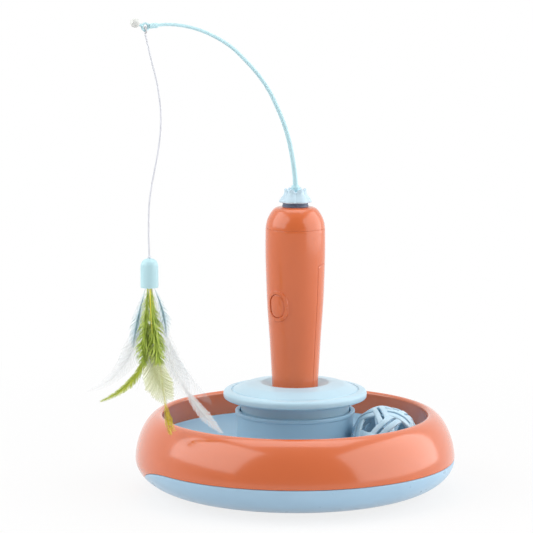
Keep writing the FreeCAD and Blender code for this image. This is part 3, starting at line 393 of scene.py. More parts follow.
def block(x, y, z, round_by=0.3):
    """A box from (low, high) pairs in millimetres, its edges softened."""
    form = bmesh.new()
    bmesh.ops.create_cube(form, size=1)
    low, high = (Vector((x[k], y[k], z[k])) * mm for k in (0, 1))
    place = Matrix.Translation((low + high) / 2) @ Matrix.Diagonal((*(high - low), 1))
    bmesh.ops.transform(form, matrix=place, verts=form.verts)
    bmesh.ops.bevel(form, geom=form.edges, offset=round_by * mm, segments=3, profile=0.5, affect="EDGES")
    return mesh_of(form, "block")


rib = block((38, 42.4), (-1, 1), (15.9, 52))
ribs = grown(rib, round_tree(), Count=drum_rib_count, Heading=math.radians(30), Finish=drum_blue)
boss_section = filleted((1.5, 9), (4.2, 9, 0.3), (4.2, 14.2), (1.5, 14.2))
bosses = [turned(boss_section, 40, upright(*spot)) for spot in screw_spots]
track = joined("track", lathed("track", track_section), solid_mesh("bosses", *bosses), ribs)
fitted("track", track, drum_blue, "base", ["track_trough"])

# Rim: the full, inflated-looking ring round the track, moulded in glossy orange plastic.
# It snaps on the tray, turns in over the track in a small round nose, and closes the channel's outside.
# On the left it runs on down the tray's wall in one piece.
rim_crest = Vector((102.5, 59.3)) * mm
rim_lip = Vector((100, 57)) * mm
rim_foot = Vector((105, 40)) * mm
rim_fullness = 1.14
rim_nose = 3.4 * mm


def rim_point(degrees, inset=0.0):
    """A point of the rim's round side, from the part line (0) up to its crest (90)."""
    across, up = math.cos(math.radians(degrees)), math.sin(math.radians(degrees))
    return (
        rim_crest.x + (dish_radius - rim_crest.x - inset) * max(across, 0) ** rim_fullness,
        seam_height + (rim_crest.y - seam_height - inset) * up**rim_fullness,
    )


def rim_section(heading):
    """The rim's section at a heading, longer where the part line dips."""
    low = seam_at(heading) + seam_gap
    heights = [low + seam_round + (seam_height - low) * i / 8 for i in range(9)]
    outside = seam_lip(tray_radius(low), low, 1)[::-1] + [(tray_radius(z), z) for z in heights]
    outside += [rim_point(degrees) for degrees in range(6, 91, 3)]
    for turn in [math.radians(degrees) for degrees in range(15, 91, 15)]:
        across = rim_crest.x - (rim_crest.x - rim_lip.x) * math.sin(turn)
        outside.append((across, rim_lip.y + (rim_crest.y - rim_lip.y) * math.cos(turn)))
    inside = [(rim_foot.x, rim_foot.y), (rim_foot.x + dish_wall, rim_foot.y)]
    inside += [(rim_lip.x + rim_nose, rim_crest.y - dish_wall)]
    inside += [rim_point(degrees, dish_wall) for degrees in range(70, -1, -10)]
    top = seam_height - 0.3 * mm
    heights = [top - (top - low) * i / 6 for i in range(1, 6)]
    return outside + inside + [(tray_radius(z) - dish_wall, z) for z in heights]


rim_orange = moulded_plastic("rim_orange", srgb(213, 107, 61), 0.2, coat=0.5, clouding=0.015)
fitted("rim", lathed("rim", rim_section, 240), rim_orange, "base", ["track_ring"])

# Cap disc: a thick round cover with a rolled edge, a groove near it and a low crown in the middle.
# Its neck drops in the drum and stands on the ribs, and the handle's foot sits in its socket.
disc_blue = moulded_plastic("disc_blue", srgb(184, 217, 233), 0.32, coat=0.1)
disc_section = filleted(
    (0, 57.4), (17.55, 57.4, 0.4), (17.55, 78.6, 0.8), (24.0, 81.4, 1.0), (25.4, 82.3, 1.0),
    (27.2, 82.4, 1.5), (37.6, 81.15, 10), (46.6, 77.5, 0.5), (47.3, 76.35, 0.35), (47.9, 76.4, 0.3),
    (48.4, 77.3, 0.5), (54.3, 76.6, 3.2), (54.1, 71.2, 1.6), (51.2, 70.0, 1.0), (40.8, 70.0, 0.6),
    (40.8, 52, 0.5), (38.4, 52, 0.5), (38.4, 77.0, 0.8), (19.95, 77.0, 0.8), (19.95, 55.2, 0.6), (0, 55.2),
)
fitted("cap_disc", lathed("cap_disc", disc_section, 256), disc_blue, "disc", ["top_disc"])

# Ball: six double bands woven over and under one another, moulded as one open blue shell.
# A slot splits every band where it passes over another, and the bands dip a little where they pass under.
ball_radius = 26.0 * mm
band_width = 10.2 * mm
band_thick = 2.2 * mm
band_sink = 0.8 * mm
slot_half = 0.95 * mm
slot_span = math.radians(50)
track_middle, ball_height, ball_heading = 71, 42.3, math.radians(-19)
ball_across = track_middle * math.cos(ball_heading), track_middle * math.sin(ball_heading)
ball_middle = Vector((*ball_across, ball_height)) * mm
band_steps = 44
crossing = math.acos(1 / math.sqrt(5))


def band_mesh():
    """One closed band about Z, slotted where it passes over others and parted where it passes under."""
    points, faces = [], []
    shares = [i / band_steps for i in range(band_steps + 1)]
    # Each station along a stretch of band, with its share of the band's full thickness
    stations = [(0.0, 0.7), (0.012, 0.93), *[(s, 1.0) for s in shares[1:-1]], (0.988, 0.93), (1.0, 0.7)]
    part = slot_half / math.sin(crossing) / (ball_radius - band_sink)
    fifth = 2 * math.pi / 5
    for side in sides:
        for k in range(5):
            start = len(points)
            for share, squeeze in stations:
                angle = fifth * (k + share + 0.5) + part * (1 - 2 * share)
                off = abs((angle + fifth / 2) % fifth - fifth / 2) / (slot_span / 2)
                gap = slot_half * math.sqrt(max(0.0, 1 - off**8))
                crown = ball_radius - band_sink * (0.5 - 0.5 * math.cos(5 * angle))
                outline = half_section(gap)
                for across, depth in outline:
                    level = band_thick / 2 + (depth - band_thick / 2) * squeeze
                    reach = math.sqrt(crown**2 - across**2) - level
                    slant = angle - side * across / math.tan(crossing) / crown * abs(2 * share - 1) ** 4
                    points.append(Vector((reach * math.cos(slant), reach * math.sin(slant), side * across)))
            count = len(outline)
            for near in range(start, len(points) - count, count):
                faces += bridged(near, near + count, count)
            faces += [range(start, start + count), range(len(points) - count, len(points))]
    return points, faces


def half_section(gap):
    """A half band's section from the slot's side to its outer edge and back underneath."""
    inner_round, outer_round = min(0.5 * mm, gap), 0.9 * mm
    edge = band_width / 2
    top = [(gap + inner_round * (1 - math.sin(a)), inner_round * (1 - math.cos(a))) for a in quarter]
    rim = [(edge - outer_round * (1 - math.sin(a)), outer_round * (1 - math.cos(a))) for a in quarter]
    over = top[::-1] + [(gap + (edge - gap) * s, 0) for s in (0.35, 0.5, 0.65)] + rim
    return over + [(x, band_thick - depth) for x, depth in over[::-1]]


quarter = [math.radians(22.5 * k) for k in range(5)]
golden = (1 + math.sqrt(5)) / 2
band_axes = []
for tall in (golden, -golden):
    band_axes += [Vector(way).normalized() for way in ((0, 1, tall), (1, tall, 0), (tall, 0, 1))]


def square_frame(x, y):
    """The turn whose X and Y axes point along two square directions."""
    x, y = x.normalized(), y.normalized()
    return Matrix((x, y, x.cross(y))).transposed()


def toward(a, b):
    """The crossing of two bands that the first one passes over."""
    return a.cross(b) * math.copysign(1, a.dot(b))


# One slot faces the front of the toy, aslant
slot_middle, slot_run = Vector((-0.01, -0.79, 0.61)), Vector((0.73, 0.41, 0.54))
slot_run -= slot_middle * (slot_run.dot(slot_middle) / slot_middle.dot(slot_middle))
first_over = toward(band_axes[0], band_axes[1])
first_frame = square_frame(first_over, band_axes[0].cross(first_over))
ball_turn = square_frame(slot_middle, slot_run) @ first_frame.inverted()


def woven_tree():
    """Copies of a band on the points of a cloud, each turned by its point's stored rotation."""
    tree, add, given = piece_tree("woven_ball", Band="Object", Size="Float", Finish="Material")
    turn = add("GeometryNodeInputNamedAttribute", "turn", data_type="FLOAT_VECTOR")
    shape = add("GeometryNodeObjectInfo", given["Band"]).node.outputs["Geometry"]
    cloud = given["Geometry"]
    copies = add("GeometryNodeInstanceOnPoints", cloud, Instance=shape, Rotation=turn, Scale=given["Size"])
    made_real(add, copies, given["Finish"])
    return tree


ball_blue = moulded_plastic("ball_blue", srgb(184, 216, 234), 0.28, coat=0.2)
band = set_down("band", solid_mesh("band", band_mesh(), sharp=50))
cloud = bpy.data.meshes.new("crossings")
cloud.from_pydata([ball_middle] * 6, [], [])
turns = cloud.attributes.new("turn", "FLOAT_VECTOR", "POINT")
for i, axis in enumerate(band_axes):
    start = toward(axis, band_axes[(i + 1) % 6])
    spin = ball_turn @ square_frame(start, axis.cross(start))
    turns.data[i].vector = spin.to_euler()
ball = grown(cloud, woven_tree(), Band=band, Size=1.0, Finish=ball_blue)
bpy.data.objects.remove(band)
fitted("woven_ball", ball, ball_blue, "ball", ["lattice_ball"])

# Bell: a small jingle bell of bright sheet metal, two domes pinched together at a belt, slotted below.
# It lies at the bottom of the ball, and shows between the bands.
bell_metal = grained("bell_metal", srgb(205, 205, 200), 0.25, 1.0, drawn=True)
bell_radius, bell_wall = 7.0, 0.8
belt_radius, belt_half, belt_round = 7.5, 1.0, 0.2
bell_low = ball_middle.z / mm - 21.86


def bell_bow(radius, first, last, step):
    """Part of the bell's round, from straight down (0) to straight up (180)."""
    turns = [math.radians(a) for a in range(first, last, step)]
    return [(abs(radius * math.sin(a)), -radius * math.cos(a)) for a in turns]


bell_section = [
    *bell_bow(bell_radius, 0, 76, 5),
    (bell_radius, -belt_half), (belt_radius, belt_round - belt_half),
    (belt_radius, belt_half - belt_round), (bell_radius, belt_half),
    *bell_bow(bell_radius, 105, 181, 5),
    *bell_bow(bell_radius - bell_wall, 180, -1, -10),
]
bell_place = Matrix.Translation((ball_middle.x, ball_middle.y, 0))
bell_middle = bell_low + bell_radius
bell_shell = lathed("bell", [(x * mm, (bell_middle + z) * mm) for x, z in bell_section], 72, bell_place)
bell_slot = block((-6.5, 6.5), (-0.75, 0.75), (bell_low - 1, bell_low + 3.4), 0.2)
bell_slot.transform(bell_place)
slot_faces = ([v.co.copy() for v in bell_slot.vertices], [tuple(p.vertices) for p in bell_slot.polygons])
fitted("jingle_bell", bored(bell_shell, slot_faces), bell_metal, "bell_seat", ["bell"])

# Handle: a tapering tube of satin orange plastic, with a raised oval ring round the button's hole.
# Its straight foot stands in the disc's socket, and two full rings bound the opening for the cover.
handle_line = (
    (17.2, 57.7), (17.2, 78.6), (19.3, 116.0), (21.3, 143.0), (22.35, 173.0), (22.6, 188.0), (22.3, 199.5),
)
handle_bore = (
    (14.3, 60.1), (14.3, 76.0), (15.3, 79.0), (15.3, 110.0), (17.1, 113.0), (17.1, 130.0), (18.4, 132.4),
    (18.4, 152.6), (19.6, 155.0), (19.6, 172.0), (20.4, 175.0), (20.4, 199.5),
)
handle_foot, handle_split = handle_line[0][1], handle_line[-1][1]
cover_low, cover_high = 79.0, 173.8
button_height = 142.6
button_size, hole_size, bezel_size = (13.0, 17.4), (13.5, 17.9), (18.3, 23.3)
bezel_foot, bezel_proud = 2.2, 1.1
patch_reach = 14.2
edge_round = 0.3
button_turn = Matrix.Rotation(math.radians(-130), 4, "Z")
columns = 180
low_heights = (handle_foot, 61.5, 65, 68.5, 72, 75.5)
cover_rows, head_rows = 46, 12


def along(line, height):
    """The radius of a bent line at a height."""
    for (r0, z0), (r1, z1) in zip(line, line[1:]):
        if height <= z1:
            return r0 + (r1 - r0) * max(0, height - z0) / (z1 - z0)
    return line[-1][0]


def handle_radius(height):
    """The handle's outside radius at a height: its line with the bends eased over 8 mm each way."""
    offsets = (-8, -4, 0, 4, 8)
    return sum(along(handle_line, min(max(height + d, handle_foot), handle_split)) for d in offsets) / 5


def cover_edge(x):
    """Height of the cover's top edge, an arc about its hinge."""
    swing = cover_high - cover_low
    return cover_low + math.sqrt(swing**2 - (x + handle_radius(cover_low)) ** 2)


def placed(x, y, z):
    """A point beside the handle's axis, X towards the button."""
    return button_turn @ Vector((x, y, z)) * mm


rise = (cover_edge(0) - cover_low) / cover_rows
heights = [*low_heights, *(cover_low + rise * i for i in range(cover_rows + 1))]
heights += [cover_edge(0) + (handle_split - cover_edge(0)) * i / head_rows for i in range(1, head_rows + 1)]
low_row = len(low_heights)
high_row = low_row + cover_rows
quarter_turn = columns // 4


def wall_spot(row, column, inside=False, gap=0.0):
    """A point of the handle's wall. Near the cover the rows lean to follow its arched top edge."""
    angle = 2 * math.pi * column / columns
    height = heights[row]
    arch = cover_edge(min(0, handle_radius(height) * math.cos(angle))) - cover_edge(0)
    reach = (height - cover_low) / (cover_edge(0) - cover_low)
    if row > high_row:
        reach = (handle_split - height) / (handle_split - cover_edge(0))
    height += arch * max(0, reach)
    if gap and row in (low_row, high_row):
        height += gap if row == low_row else -gap
    radius = along(handle_bore, height) if inside else handle_radius(height)
    if gap and column % columns in (quarter_turn, 3 * quarter_turn):
        angle += gap / radius if column < columns / 2 else -gap / radius
    if inside:
        height = max(height, handle_bore[0][1])
    return placed(radius * math.cos(angle), radius * math.sin(angle), height)


def wall_cells(kept, gap, patched=lambda row, column: False):
    """The wall over the kept cells, closed by an edge wherever a neighbour isn't kept."""
    quads = []
    for row in range(len(heights) - 1):
        for column in range(columns):
            if not kept(row, column) or patched(row, column):
                continue
            corners = [(row, column), (row, column + 1), (row + 1, column + 1), (row + 1, column)]
            out = [wall_spot(*corner, False, gap) for corner in corners]
            into = [wall_spot(*corner, True, gap) for corner in corners]
            quads += [out, into]
            beyond = [(row - 1, column), (row, column + 1), (row + 1, column), (row, column - 1)]
            for i, (next_row, next_column) in enumerate(beyond):
                if not kept(next_row, next_column % columns):
                    k = (i + 1) % 4
                    quads.append([out[i], out[k], into[k], into[i]])
    return [p for quad in quads for p in quad], [range(4 * i, 4 * i + 4) for i in range(len(quads))]


def ringed(*loops):
    """Faces between loops of equal length, each joined to the next."""
    points, faces = [p for loop in loops for p in loop], []
    count = len(loops[0])
    for near in range(0, len(points) - count, count):
        faces += bridged(near, near + count, count)
    return points, faces


def softened(mesh, width):
    """The mesh with its sharp edges rounded, the width in millimetres."""
    form = bmesh.new()
    form.from_mesh(mesh)
    edges = [e for e in form.edges if e.is_manifold and e.calc_face_angle() > math.radians(50)]
    bmesh.ops.bevel(
        form, geom=edges, offset=width * mm, offset_type="OFFSET", segments=3, profile=0.5,
        affect="EDGES", clamp_overlap=False,
    )
    return smoothed(mesh_of(form, mesh.name), 45)


# The rows and columns round the button that the loops below fill
patch_half = 16
patch_rows = [
    row for row in range(low_row, high_row) if abs(heights[row] + rise / 2 - button_height) < patch_reach
]
first_patch, last_patch = patch_rows[0], patch_rows[-1] + 1
patch_rim = [(first_patch, c) for c in range(-patch_half, patch_half)]
patch_rim += [(r, patch_half) for r in range(first_patch, last_patch)]
patch_rim += [(last_patch, c) for c in range(patch_half, -patch_half, -1)]
patch_rim += [(r, -patch_half) for r in range(last_patch, first_patch, -1)]
patch_ways = []
for row, column in patch_rim:
    y = handle_radius(heights[row]) * math.sin(2 * math.pi * column / columns)
    patch_ways.append(Vector((y, heights[row] - button_height)).normalized())


def outside(proud):
    """The handle's face, grown by a little, as X over the button's Y and Z."""
    return lambda y, z: math.sqrt((handle_radius(z) + proud) ** 2 - y**2)


def in_bore(y, z):
    """The handle's bore, as X over the button's Y and Z."""
    return math.sqrt(along(handle_bore, z) ** 2 - y**2)


def button_loop(size, surface):
    """A round-ended loop about the button's middle, laid on a surface."""
    half, straight = size[0] / 2, (size[1] - size[0]) / 2
    loop = []
    for y, z in patch_ways:
        if abs(z) * half <= straight * abs(y):
            reach = half / abs(y)
        else:
            reach = straight * abs(z) + math.sqrt(half**2 - (straight * y) ** 2)
        height = button_height + reach * z
        loop.append(placed(surface(reach * y, height), reach * y, height))
    return loop


def in_cover(row, column):
    """Whether a cell of the wall belongs to the battery cover."""
    return low_row <= row < high_row and quarter_turn <= column < 3 * quarter_turn


def in_body(row, column):
    """Whether a cell belongs to the body; below the first row lies its floor."""
    return row < len(heights) - 1 and not in_cover(row, column)


def in_patch(row, column):
    """Whether a cell makes way for the loops round the button."""
    return first_patch <= row < last_patch and min(column, columns - 1 - column) < patch_half


floors = []
for inside, height in ((False, handle_foot), (True, handle_bore[0][1])):
    rim_loop = [wall_spot(0, column, inside) for column in range(columns)]
    floors.append(ringed([placed(0, 0, height)] * columns, rim_loop))
bezel = ringed(
    [wall_spot(row, column) for row, column in patch_rim],
    button_loop([side + bezel_foot for side in bezel_size], outside(0)),
    button_loop(bezel_size, outside(0)),
    button_loop(bezel_size, outside(bezel_proud)),
    button_loop(hole_size, outside(bezel_proud)),
    button_loop(hole_size, in_bore),
    [wall_spot(row, column, True) for row, column in patch_rim],
)
ledges = [
    turned(filleted((12.7, 77), (15.0, 77), (15.0, 79), (12.7, 79)), 96),
    turned(filleted((17.8, 174.2), (20.6, 174.2), (20.6, 176), (17.8, 176)), 96),
]
handle_orange = moulded_plastic("handle_orange", srgb(214, 105, 54), 0.24, 0.45, clouding=0.01, grain=0.005)
handle_wall = softened(solid_mesh("handle", wall_cells(in_body, 0, in_patch), bezel, *floors), edge_round)
handle = joined("handle", handle_wall, solid_mesh("ledges", *ledges))
fitted("handle", handle, handle_orange, "handle", ["handle_body"])

# Inside: a black cradle with two cells and steel contacts, and a green board with its switch.
# Above them a small motor drives two stepped gears and the output wheel between two plates.
# These pieces keep the frame's own solids, and only the open cover shows them.
black = grained("black_plastic", srgb(34, 34, 36), 0.5)
gear_white = grained("gear_white", srgb(228, 225, 214), 0.45)
brass = grained("brass", srgb(205, 168, 92), 0.3, 1.0)
finish_solids(black, "battery_holder", "gearbox_base", "gearbox_lid", "tact_switch")
finish_solids(gear_white, "motor_pinion", "reduction_gear_low", "reduction_gear_high", "output_gear")
finish_solids(grained("board_green", srgb(36, 92, 56), 0.35), "switch_board")
finish_solids(grained("lead_red", srgb(168, 40, 34), 0.5), "lead_wires")
finish_solids(grained("switch_white", srgb(224, 224, 218), 0.4), "switch_plunger")
finish_solids(grained("cell_wrap", srgb(52, 56, 62), 0.3), "battery_cells")
finish_solids(brass, "shaft_bush")
finish_solids(
    steel, "cell_contacts", "motor", "motor_shaft", "gear_pin_low", "gear_pin_high", "gearbox_screws",
    "output_shaft",
)

# Power button: a round-ended cap of the handle's own orange, a little proud of it and softly crowned.
# A flange behind the wall keeps it in, and a boss on its back presses the switch's stem.
cap_proud = 0.9
cap_crown = ((0.02, 0.88), (0.3, 0.88), (0.6, 0.84), (0.85, 0.74), (0.95, 0.62), (0.99, 0.45), (1.0, 0.25))
cap_loops = [button_loop([side * share for side in button_size], outside(p)) for share, p in cap_crown]
flange_size = [side + 2 for side in button_size]
button_back, flange_front = 15.4, 16.6
boss_front, boss_size = 15.0, (3.0, 3.02)
back_steps = (
    (button_size, flange_front), (flange_size, flange_front), (flange_size, button_back),
    (boss_size, button_back), (boss_size, boss_front),
)
back_loops = [button_loop(size, lambda y, z, x=x: x) for size, x in back_steps]
cap_top = outside(cap_proud)(0, button_height)
front_pole, back_pole = ([placed(x, 0, button_height)] * len(patch_ways) for x in (cap_top, boss_front))
button_ends = ringed(front_pole, cap_loops[0]), ringed(back_loops[-1], back_pole)
button = solid_mesh("button", ringed(*cap_loops, *back_loops), *button_ends, sharp=50)
fitted("button", button, handle_orange, "button", ["power_button"])

# Battery cover: the back half of the wall between the two rings, in the same orange plastic.
# Three low grip ribs lie across its top, and two hooks at its foot hinge it behind the lower ring.
cover_gap = 0.15
grip_rib_count, grip_rib_pitch, grip_rib_height, grip_half = 3, 4.0, 0.5, 8.0
grip_steps = 24
hook_reach, hook_half = 6, 2
hook_steps = (((-11.7, -10.5), (76.2, 80.2)), ((-15.6, -10.5), (79.3, 80.2)))


def grip_rib(low, high):
    """A low rounded bar across the cover's back, sunk in the wall at both ends."""
    loops = []
    for i in range(grip_steps + 1):
        across = 2 * i / grip_steps - 1
        proud = grip_rib_height * (1 - across**6)
        y = across * grip_half
        middle = (low + high) / 2
        section = (
            (-0.4, low), (proud - 0.15, low), (proud, middle - 0.3), (proud, middle + 0.3),
            (proud - 0.15, high), (-0.4, high),
        )
        loops.append([placed(-math.sqrt((handle_radius(z) + p) ** 2 - y**2), y, z) for p, z in section])
    return [ringed(*loops), *((loop, [range(6)]) for loop in (loops[0], loops[-1]))]


grip_ribs = []
for i in range(grip_rib_count):
    rib_low = cover_high - (i + 2) * grip_rib_pitch
    grip_ribs += grip_rib(rib_low, rib_low + grip_rib_pitch / 3)
cover_wall = softened(solid_mesh("cover", wall_cells(in_cover, cover_gap)), edge_round)
hooks = []
for side in (-hook_reach, hook_reach):
    for x, z in hook_steps:
        hook = block(x, (side - hook_half, side + hook_half), z, 0.2)
        hook.transform(button_turn)
        hooks.append(hook)
cover = joined("cover", cover_wall, solid_mesh("grip", *grip_ribs, sharp=60), *hooks)
fitted("cover_shell", cover, handle_orange, "cover", ["battery_cover"])

# Handle head: a smooth dome with a short spigot pressed in the handle's top ring.
# A boss under its middle holds the brass bush that the output shaft turns in.
head_section = filleted(
    (3.5, 206.7), (5.8, 206.7, 0.4), (5.8, 213.5), (14.0, 213.5), (14.0, 204.0), (18.5, 204.0), (18.5, 195.5),
    (20.2, 195.5, 0.4), (20.2, 199.6), (22.28, 199.56, 0.12), (21.9, 203.4, 20), (20.6, 207.4, 20),
    (18.4, 211.4, 20), (15.6, 214.7, 14), (12.0, 215.7, 6), (3.5, 215.7),
)
fitted("head", lathed("head", head_section, 160), handle_orange, "handle", ["handle_head"])

# Shaft collar: a grey-blue ring in two steps that keeps dust out of the shaft's hole.
# It is moulded plastic, pressed on the head's flat top, and stays still under the turning crown.
collar_grey = moulded_plastic("collar_grey", srgb(96, 110, 134), 0.42)
collar_section = filleted(
    (2.05, 215.7), (9.8, 215.7, 0.2), (9.8, 217.0, 0.25), (9.2, 217.1, 0.1), (9.2, 217.5, 0.1),
    (9.5, 217.6, 0.2), (9.5, 218.7, 0.4), (2.05, 218.7),
)
fitted("collar", lathed("collar", collar_section, 96), collar_grey, "handle", ["shaft_collar"])

# Crown: a pale blue flower of six petals that sits on the output shaft and turns with it.
# The petals stand up at its top and flare out at its foot to a scalloped skirt.
crown_bottom, crown_height = 219.0, 10.4
arm_heading = math.radians(213)
petal_count = 6


def crown_section(heading):
    """The crown's section at a heading, fuller and taller in the middle of a petal."""
    wave = 0.5 - 0.5 * math.cos(petal_count * (heading - arm_heading))
    petal = wave**0.55
    skirt, waist = 11.0 + 1.2 * petal, 7.1 + 1.25 * petal
    top = crown_height - 2.6 * (1 - petal)
    outside = [
        (skirt - 0.3, 0), (skirt, 0.3), (skirt + 0.05, 0.9), (skirt - 0.15, 1.5), (skirt - 0.7, 2.3),
        (waist + 2.5, 3.3), (waist + 1.5, 4.4), (waist + 0.7, 5.6), (waist + 0.15, 6.8),
        (waist, 8.0 - 2 * (1 - petal)), (waist, top - 0.8), (waist - 0.15, top - 0.3), (waist - 0.5, top),
    ]
    cup = [(5.9 + 0.6 * petal, top - 0.1), (5.6, 7.9), (5.2, 7.4), (3.25, 7.4), (3.25, 7.0), (2.0, 7.0)]
    return [(r * mm, (crown_bottom + z) * mm) for r, z in [*outside, *cup, (2.0, 0)]]


crown_blue = moulded_plastic("crown_blue", srgb(194, 218, 231), 0.36, coat=0.05)
crown = lathed("crown", crown_section, 240, sharp=40)
fitted("crown", crown, crown_blue, "rotor", ["crown_cap"])

# Arm: a springy rod of aqua plastic that rises from the crown in a long arc and thins towards its tip.
# A short sleeve grips its root in the crown.
arm_line = (
    (0.0, 227.0), (0.0, 232.5), (0.8, 241.5), (3.0, 254.0), (6.0, 266.0), (10.2, 278.0), (16.0, 290.0),
    (22.8, 302.2), (32.1, 314.3), (44.4, 326.5), (58.6, 337.9), (76.6, 347.0), (94.0, 352.2), (110.0, 354.1),
    (124.6, 353.4),
)
arm_base_radius, arm_tip_radius = 1.85, 1.1
arm_gripped = 0.06
arm_way = Vector((math.cos(arm_heading), math.sin(arm_heading), 0))
arm_across = Vector((-math.sin(arm_heading), math.cos(arm_heading), 0))
aqua = moulded_plastic("aqua", srgb(188, 225, 233), 0.42, coat=0.0, clouding=0.0, grain=0.0)


def in_arm_plane(reach, height):
    """A place by its reach along the arm's heading and its height, in millimetres."""
    return (arm_way * reach + Vector((0, 0, height))) * mm


def eased(points, steps):
    """A smooth line through the points, with even steps between each two."""
    line = []
    ends = [points[0] * 2 - points[1], *points, points[-1] * 2 - points[-2]]
    for a, b, c, d in zip(ends, ends[1:], ends[2:], ends[3:]):
        for i in range(steps):
            t = i / steps
            bow, swing = a * 2 - b * 5 + c * 4 - d, b * 3 - a - c * 3 + d
            line.append((b * 2 + (c - a) * t + bow * t**2 + swing * t**3) / 2)
    return line + [points[-1].copy()]


def wire(line, radius, flat, count, closed=False):
    """A round rod along a line; its radius follows the share of the way, and flat is a way across it."""
    loops = []
    for i, spot in enumerate(line):
        before = line[i - 1] if i or closed else spot
        after = line[(i + 1) % len(line)] if closed or i + 1 < len(line) else spot
        way = (after - before).normalized()
        side = (flat - way * flat.dot(way)).normalized()
        up = side.cross(way)
        size = radius(i / (len(line) - 1))
        angles = [2 * math.pi * k / count for k in range(count)]
        loops.append([spot + (side * math.cos(a) + up * math.sin(a)) * size for a in angles])
    if closed:
        return [ringed(*loops, loops[0])]
    caps = [ringed([end] * count, loop) for end, loop in ((line[0], loops[0]), (line[-1], loops[-1]))]
    return [ringed(*loops), *caps]


def arm_radius(share):
    """The arm's radius, full in the sleeve and then thinner to its tip."""
    thinned = max(0, share - arm_gripped) / (1 - arm_gripped)
    return (arm_base_radius + (arm_tip_radius - arm_base_radius) * thinned) * mm


arm_middle = eased([in_arm_plane(*spot) for spot in arm_line], 8)
arm = solid_mesh("arm", *wire(arm_middle, arm_radius, arm_across, 24))
fitted("arm", arm, aqua, "rotor", ["teaser_arm"])
sleeve_section = filleted((1.86, 226.0), (3.2, 226.0), (3.2, 230.2, 0.8), (2.7, 231.6, 0.4), (1.86, 231.6))
fitted("sleeve", lathed("sleeve", sleeve_section, 64), aqua, "rotor", ["arm_sleeve"])

# Tip: an aqua eyelet moulded with the sleeve that grips the arm's end and a peg for the end knob.
# The knob is a rounded off-white cap, pushed on the peg.
arm_tip = in_arm_plane(*arm_line[-1])
eyelet = arm_tip + in_arm_plane(4.4, -0.6)
knob_slope = math.radians(20)
knob_way = arm_way * math.cos(knob_slope) + Vector((0, 0, math.sin(knob_slope)))


def carried(place, way, shape):
    """A turned shape moved so that its axis runs along a way from a place."""
    turn = way.to_track_quat("Z", "Y").to_matrix().to_4x4()
    turn.translation = place
    points, faces = shape
    return [turn @ p for p in points], faces


tip_way = (arm_tip - in_arm_plane(*arm_line[-2])).normalized()
washer_section = filleted((1.8, -0.8, 0.3), (3.3, -0.8, 0.5), (3.3, 0.8, 0.5), (1.8, 0.8, 0.3))
grip_section = filleted(
    (1.1, -6.0), (1.55, -6.0, 0.2), (1.9, -4.6, 0.8), (1.9, 1.6, 0.5), (0.6, 2.4, 0.3), (0, 2.4),
)
peg_section = filleted((0, 2.2), (1.1, 2.2), (1.1, 6.4, 0.2), (0, 6.4))
tip = solid_mesh(
    "tip",
    carried(eyelet, arm_across, turned(washer_section, 48)),
    carried(arm_tip, tip_way, turned(grip_section, 32)),
    carried(eyelet, knob_way, turned(peg_section, 24)),
)
fitted("tip", tip, aqua, "rotor", ["tip_eyelet"])
knob_section = filleted(
    (0, 5.8), (1.9, 5.8, 0.4), (3.4, 7.2, 2.2), (3.4, 10.4, 2.6), (1.9, 12.1, 1.4), (0, 12.1),
)
off_white = moulded_plastic("off_white", srgb(222, 224, 220), 0.32, coat=0.2)
knob = solid_mesh("knob", carried(eyelet, knob_way, turned(knob_section, 40)))
fitted("knob", knob, off_white, "rotor", ["tip_knob"])

# Link: a small closed loop of bright steel wire through the eyelet, which the lure hangs from.
# Nothing holds it but the eyelet, so that it swings with the cord.
link_outer, link_wire = 2.25, 1.1
link_drop = 4.4
link_middle = link_outer - link_wire / 2
link_line = []
for centre, first in ((-link_middle, 0), (link_middle - link_drop, 180)):
    for degrees in range(first, first + 181, 15):
        angle = math.radians(degrees)
        spot = arm_across * math.cos(angle) + Vector((0, 0, math.sin(angle)))
        link_line.append(eyelet + (spot * link_middle + Vector((0, 0, centre))) * mm)
link = solid_mesh("link", *wire(link_line, lambda share: link_wire / 2 * mm, arm_way, 14, closed=True))
fitted("link", link, steel, "loop", ["cord_loop"])

# Lure cord: a thin limp white cord, tied to the link at the top and knotted in the capsule below.
# It is one length of twisted cotton, and it hangs in a lazy S.
cord_radius = 0.7 * mm
cord_route = (
    (-0.1082, -0.0703, 0.34755), (-0.1046, -0.0708, 0.331), (-0.0994, -0.0716, 0.3115),
    (-0.0966, -0.072, 0.287), (-0.0994, -0.0714, 0.2625), (-0.1046, -0.0708, 0.239),
    (-0.1072, -0.0704, 0.2155), (-0.1063, -0.0703, 0.186),
)
cord_white, add, dress = material_kit("cord_white")
lay = add("ShaderNodeTexWave", own_place(add), bands_direction="DIAGONAL", Scale=420.0, Distortion=1.0)
dress(
    Base_Color=srgb(226, 228, 234),
    Roughness=0.85,
    Normal=add("ShaderNodeBump", Strength=0.15, Distance=0.0002, Height=lay.node.outputs["Fac"]),
)
cord_line = bpy.data.curves.new("cord", "CURVE")
cord_line.dimensions = "3D"
cord_line.bevel_depth = cord_radius
cord_line.bevel_resolution = 6
cord_line.resolution_u = 16
cord_line.use_fill_caps = True
spline = cord_line.splines.new("NURBS")
spline.points.add(len(cord_route) - 1)
for spot, place in zip(spline.points, cord_route):
    spot.co = (*place, 1)
spline.order_u = 3
spline.use_endpoint_u = True
cord = set_down("cord", painted(cord_line, cord_white))
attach(cord, "lure")
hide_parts("lure_cord")

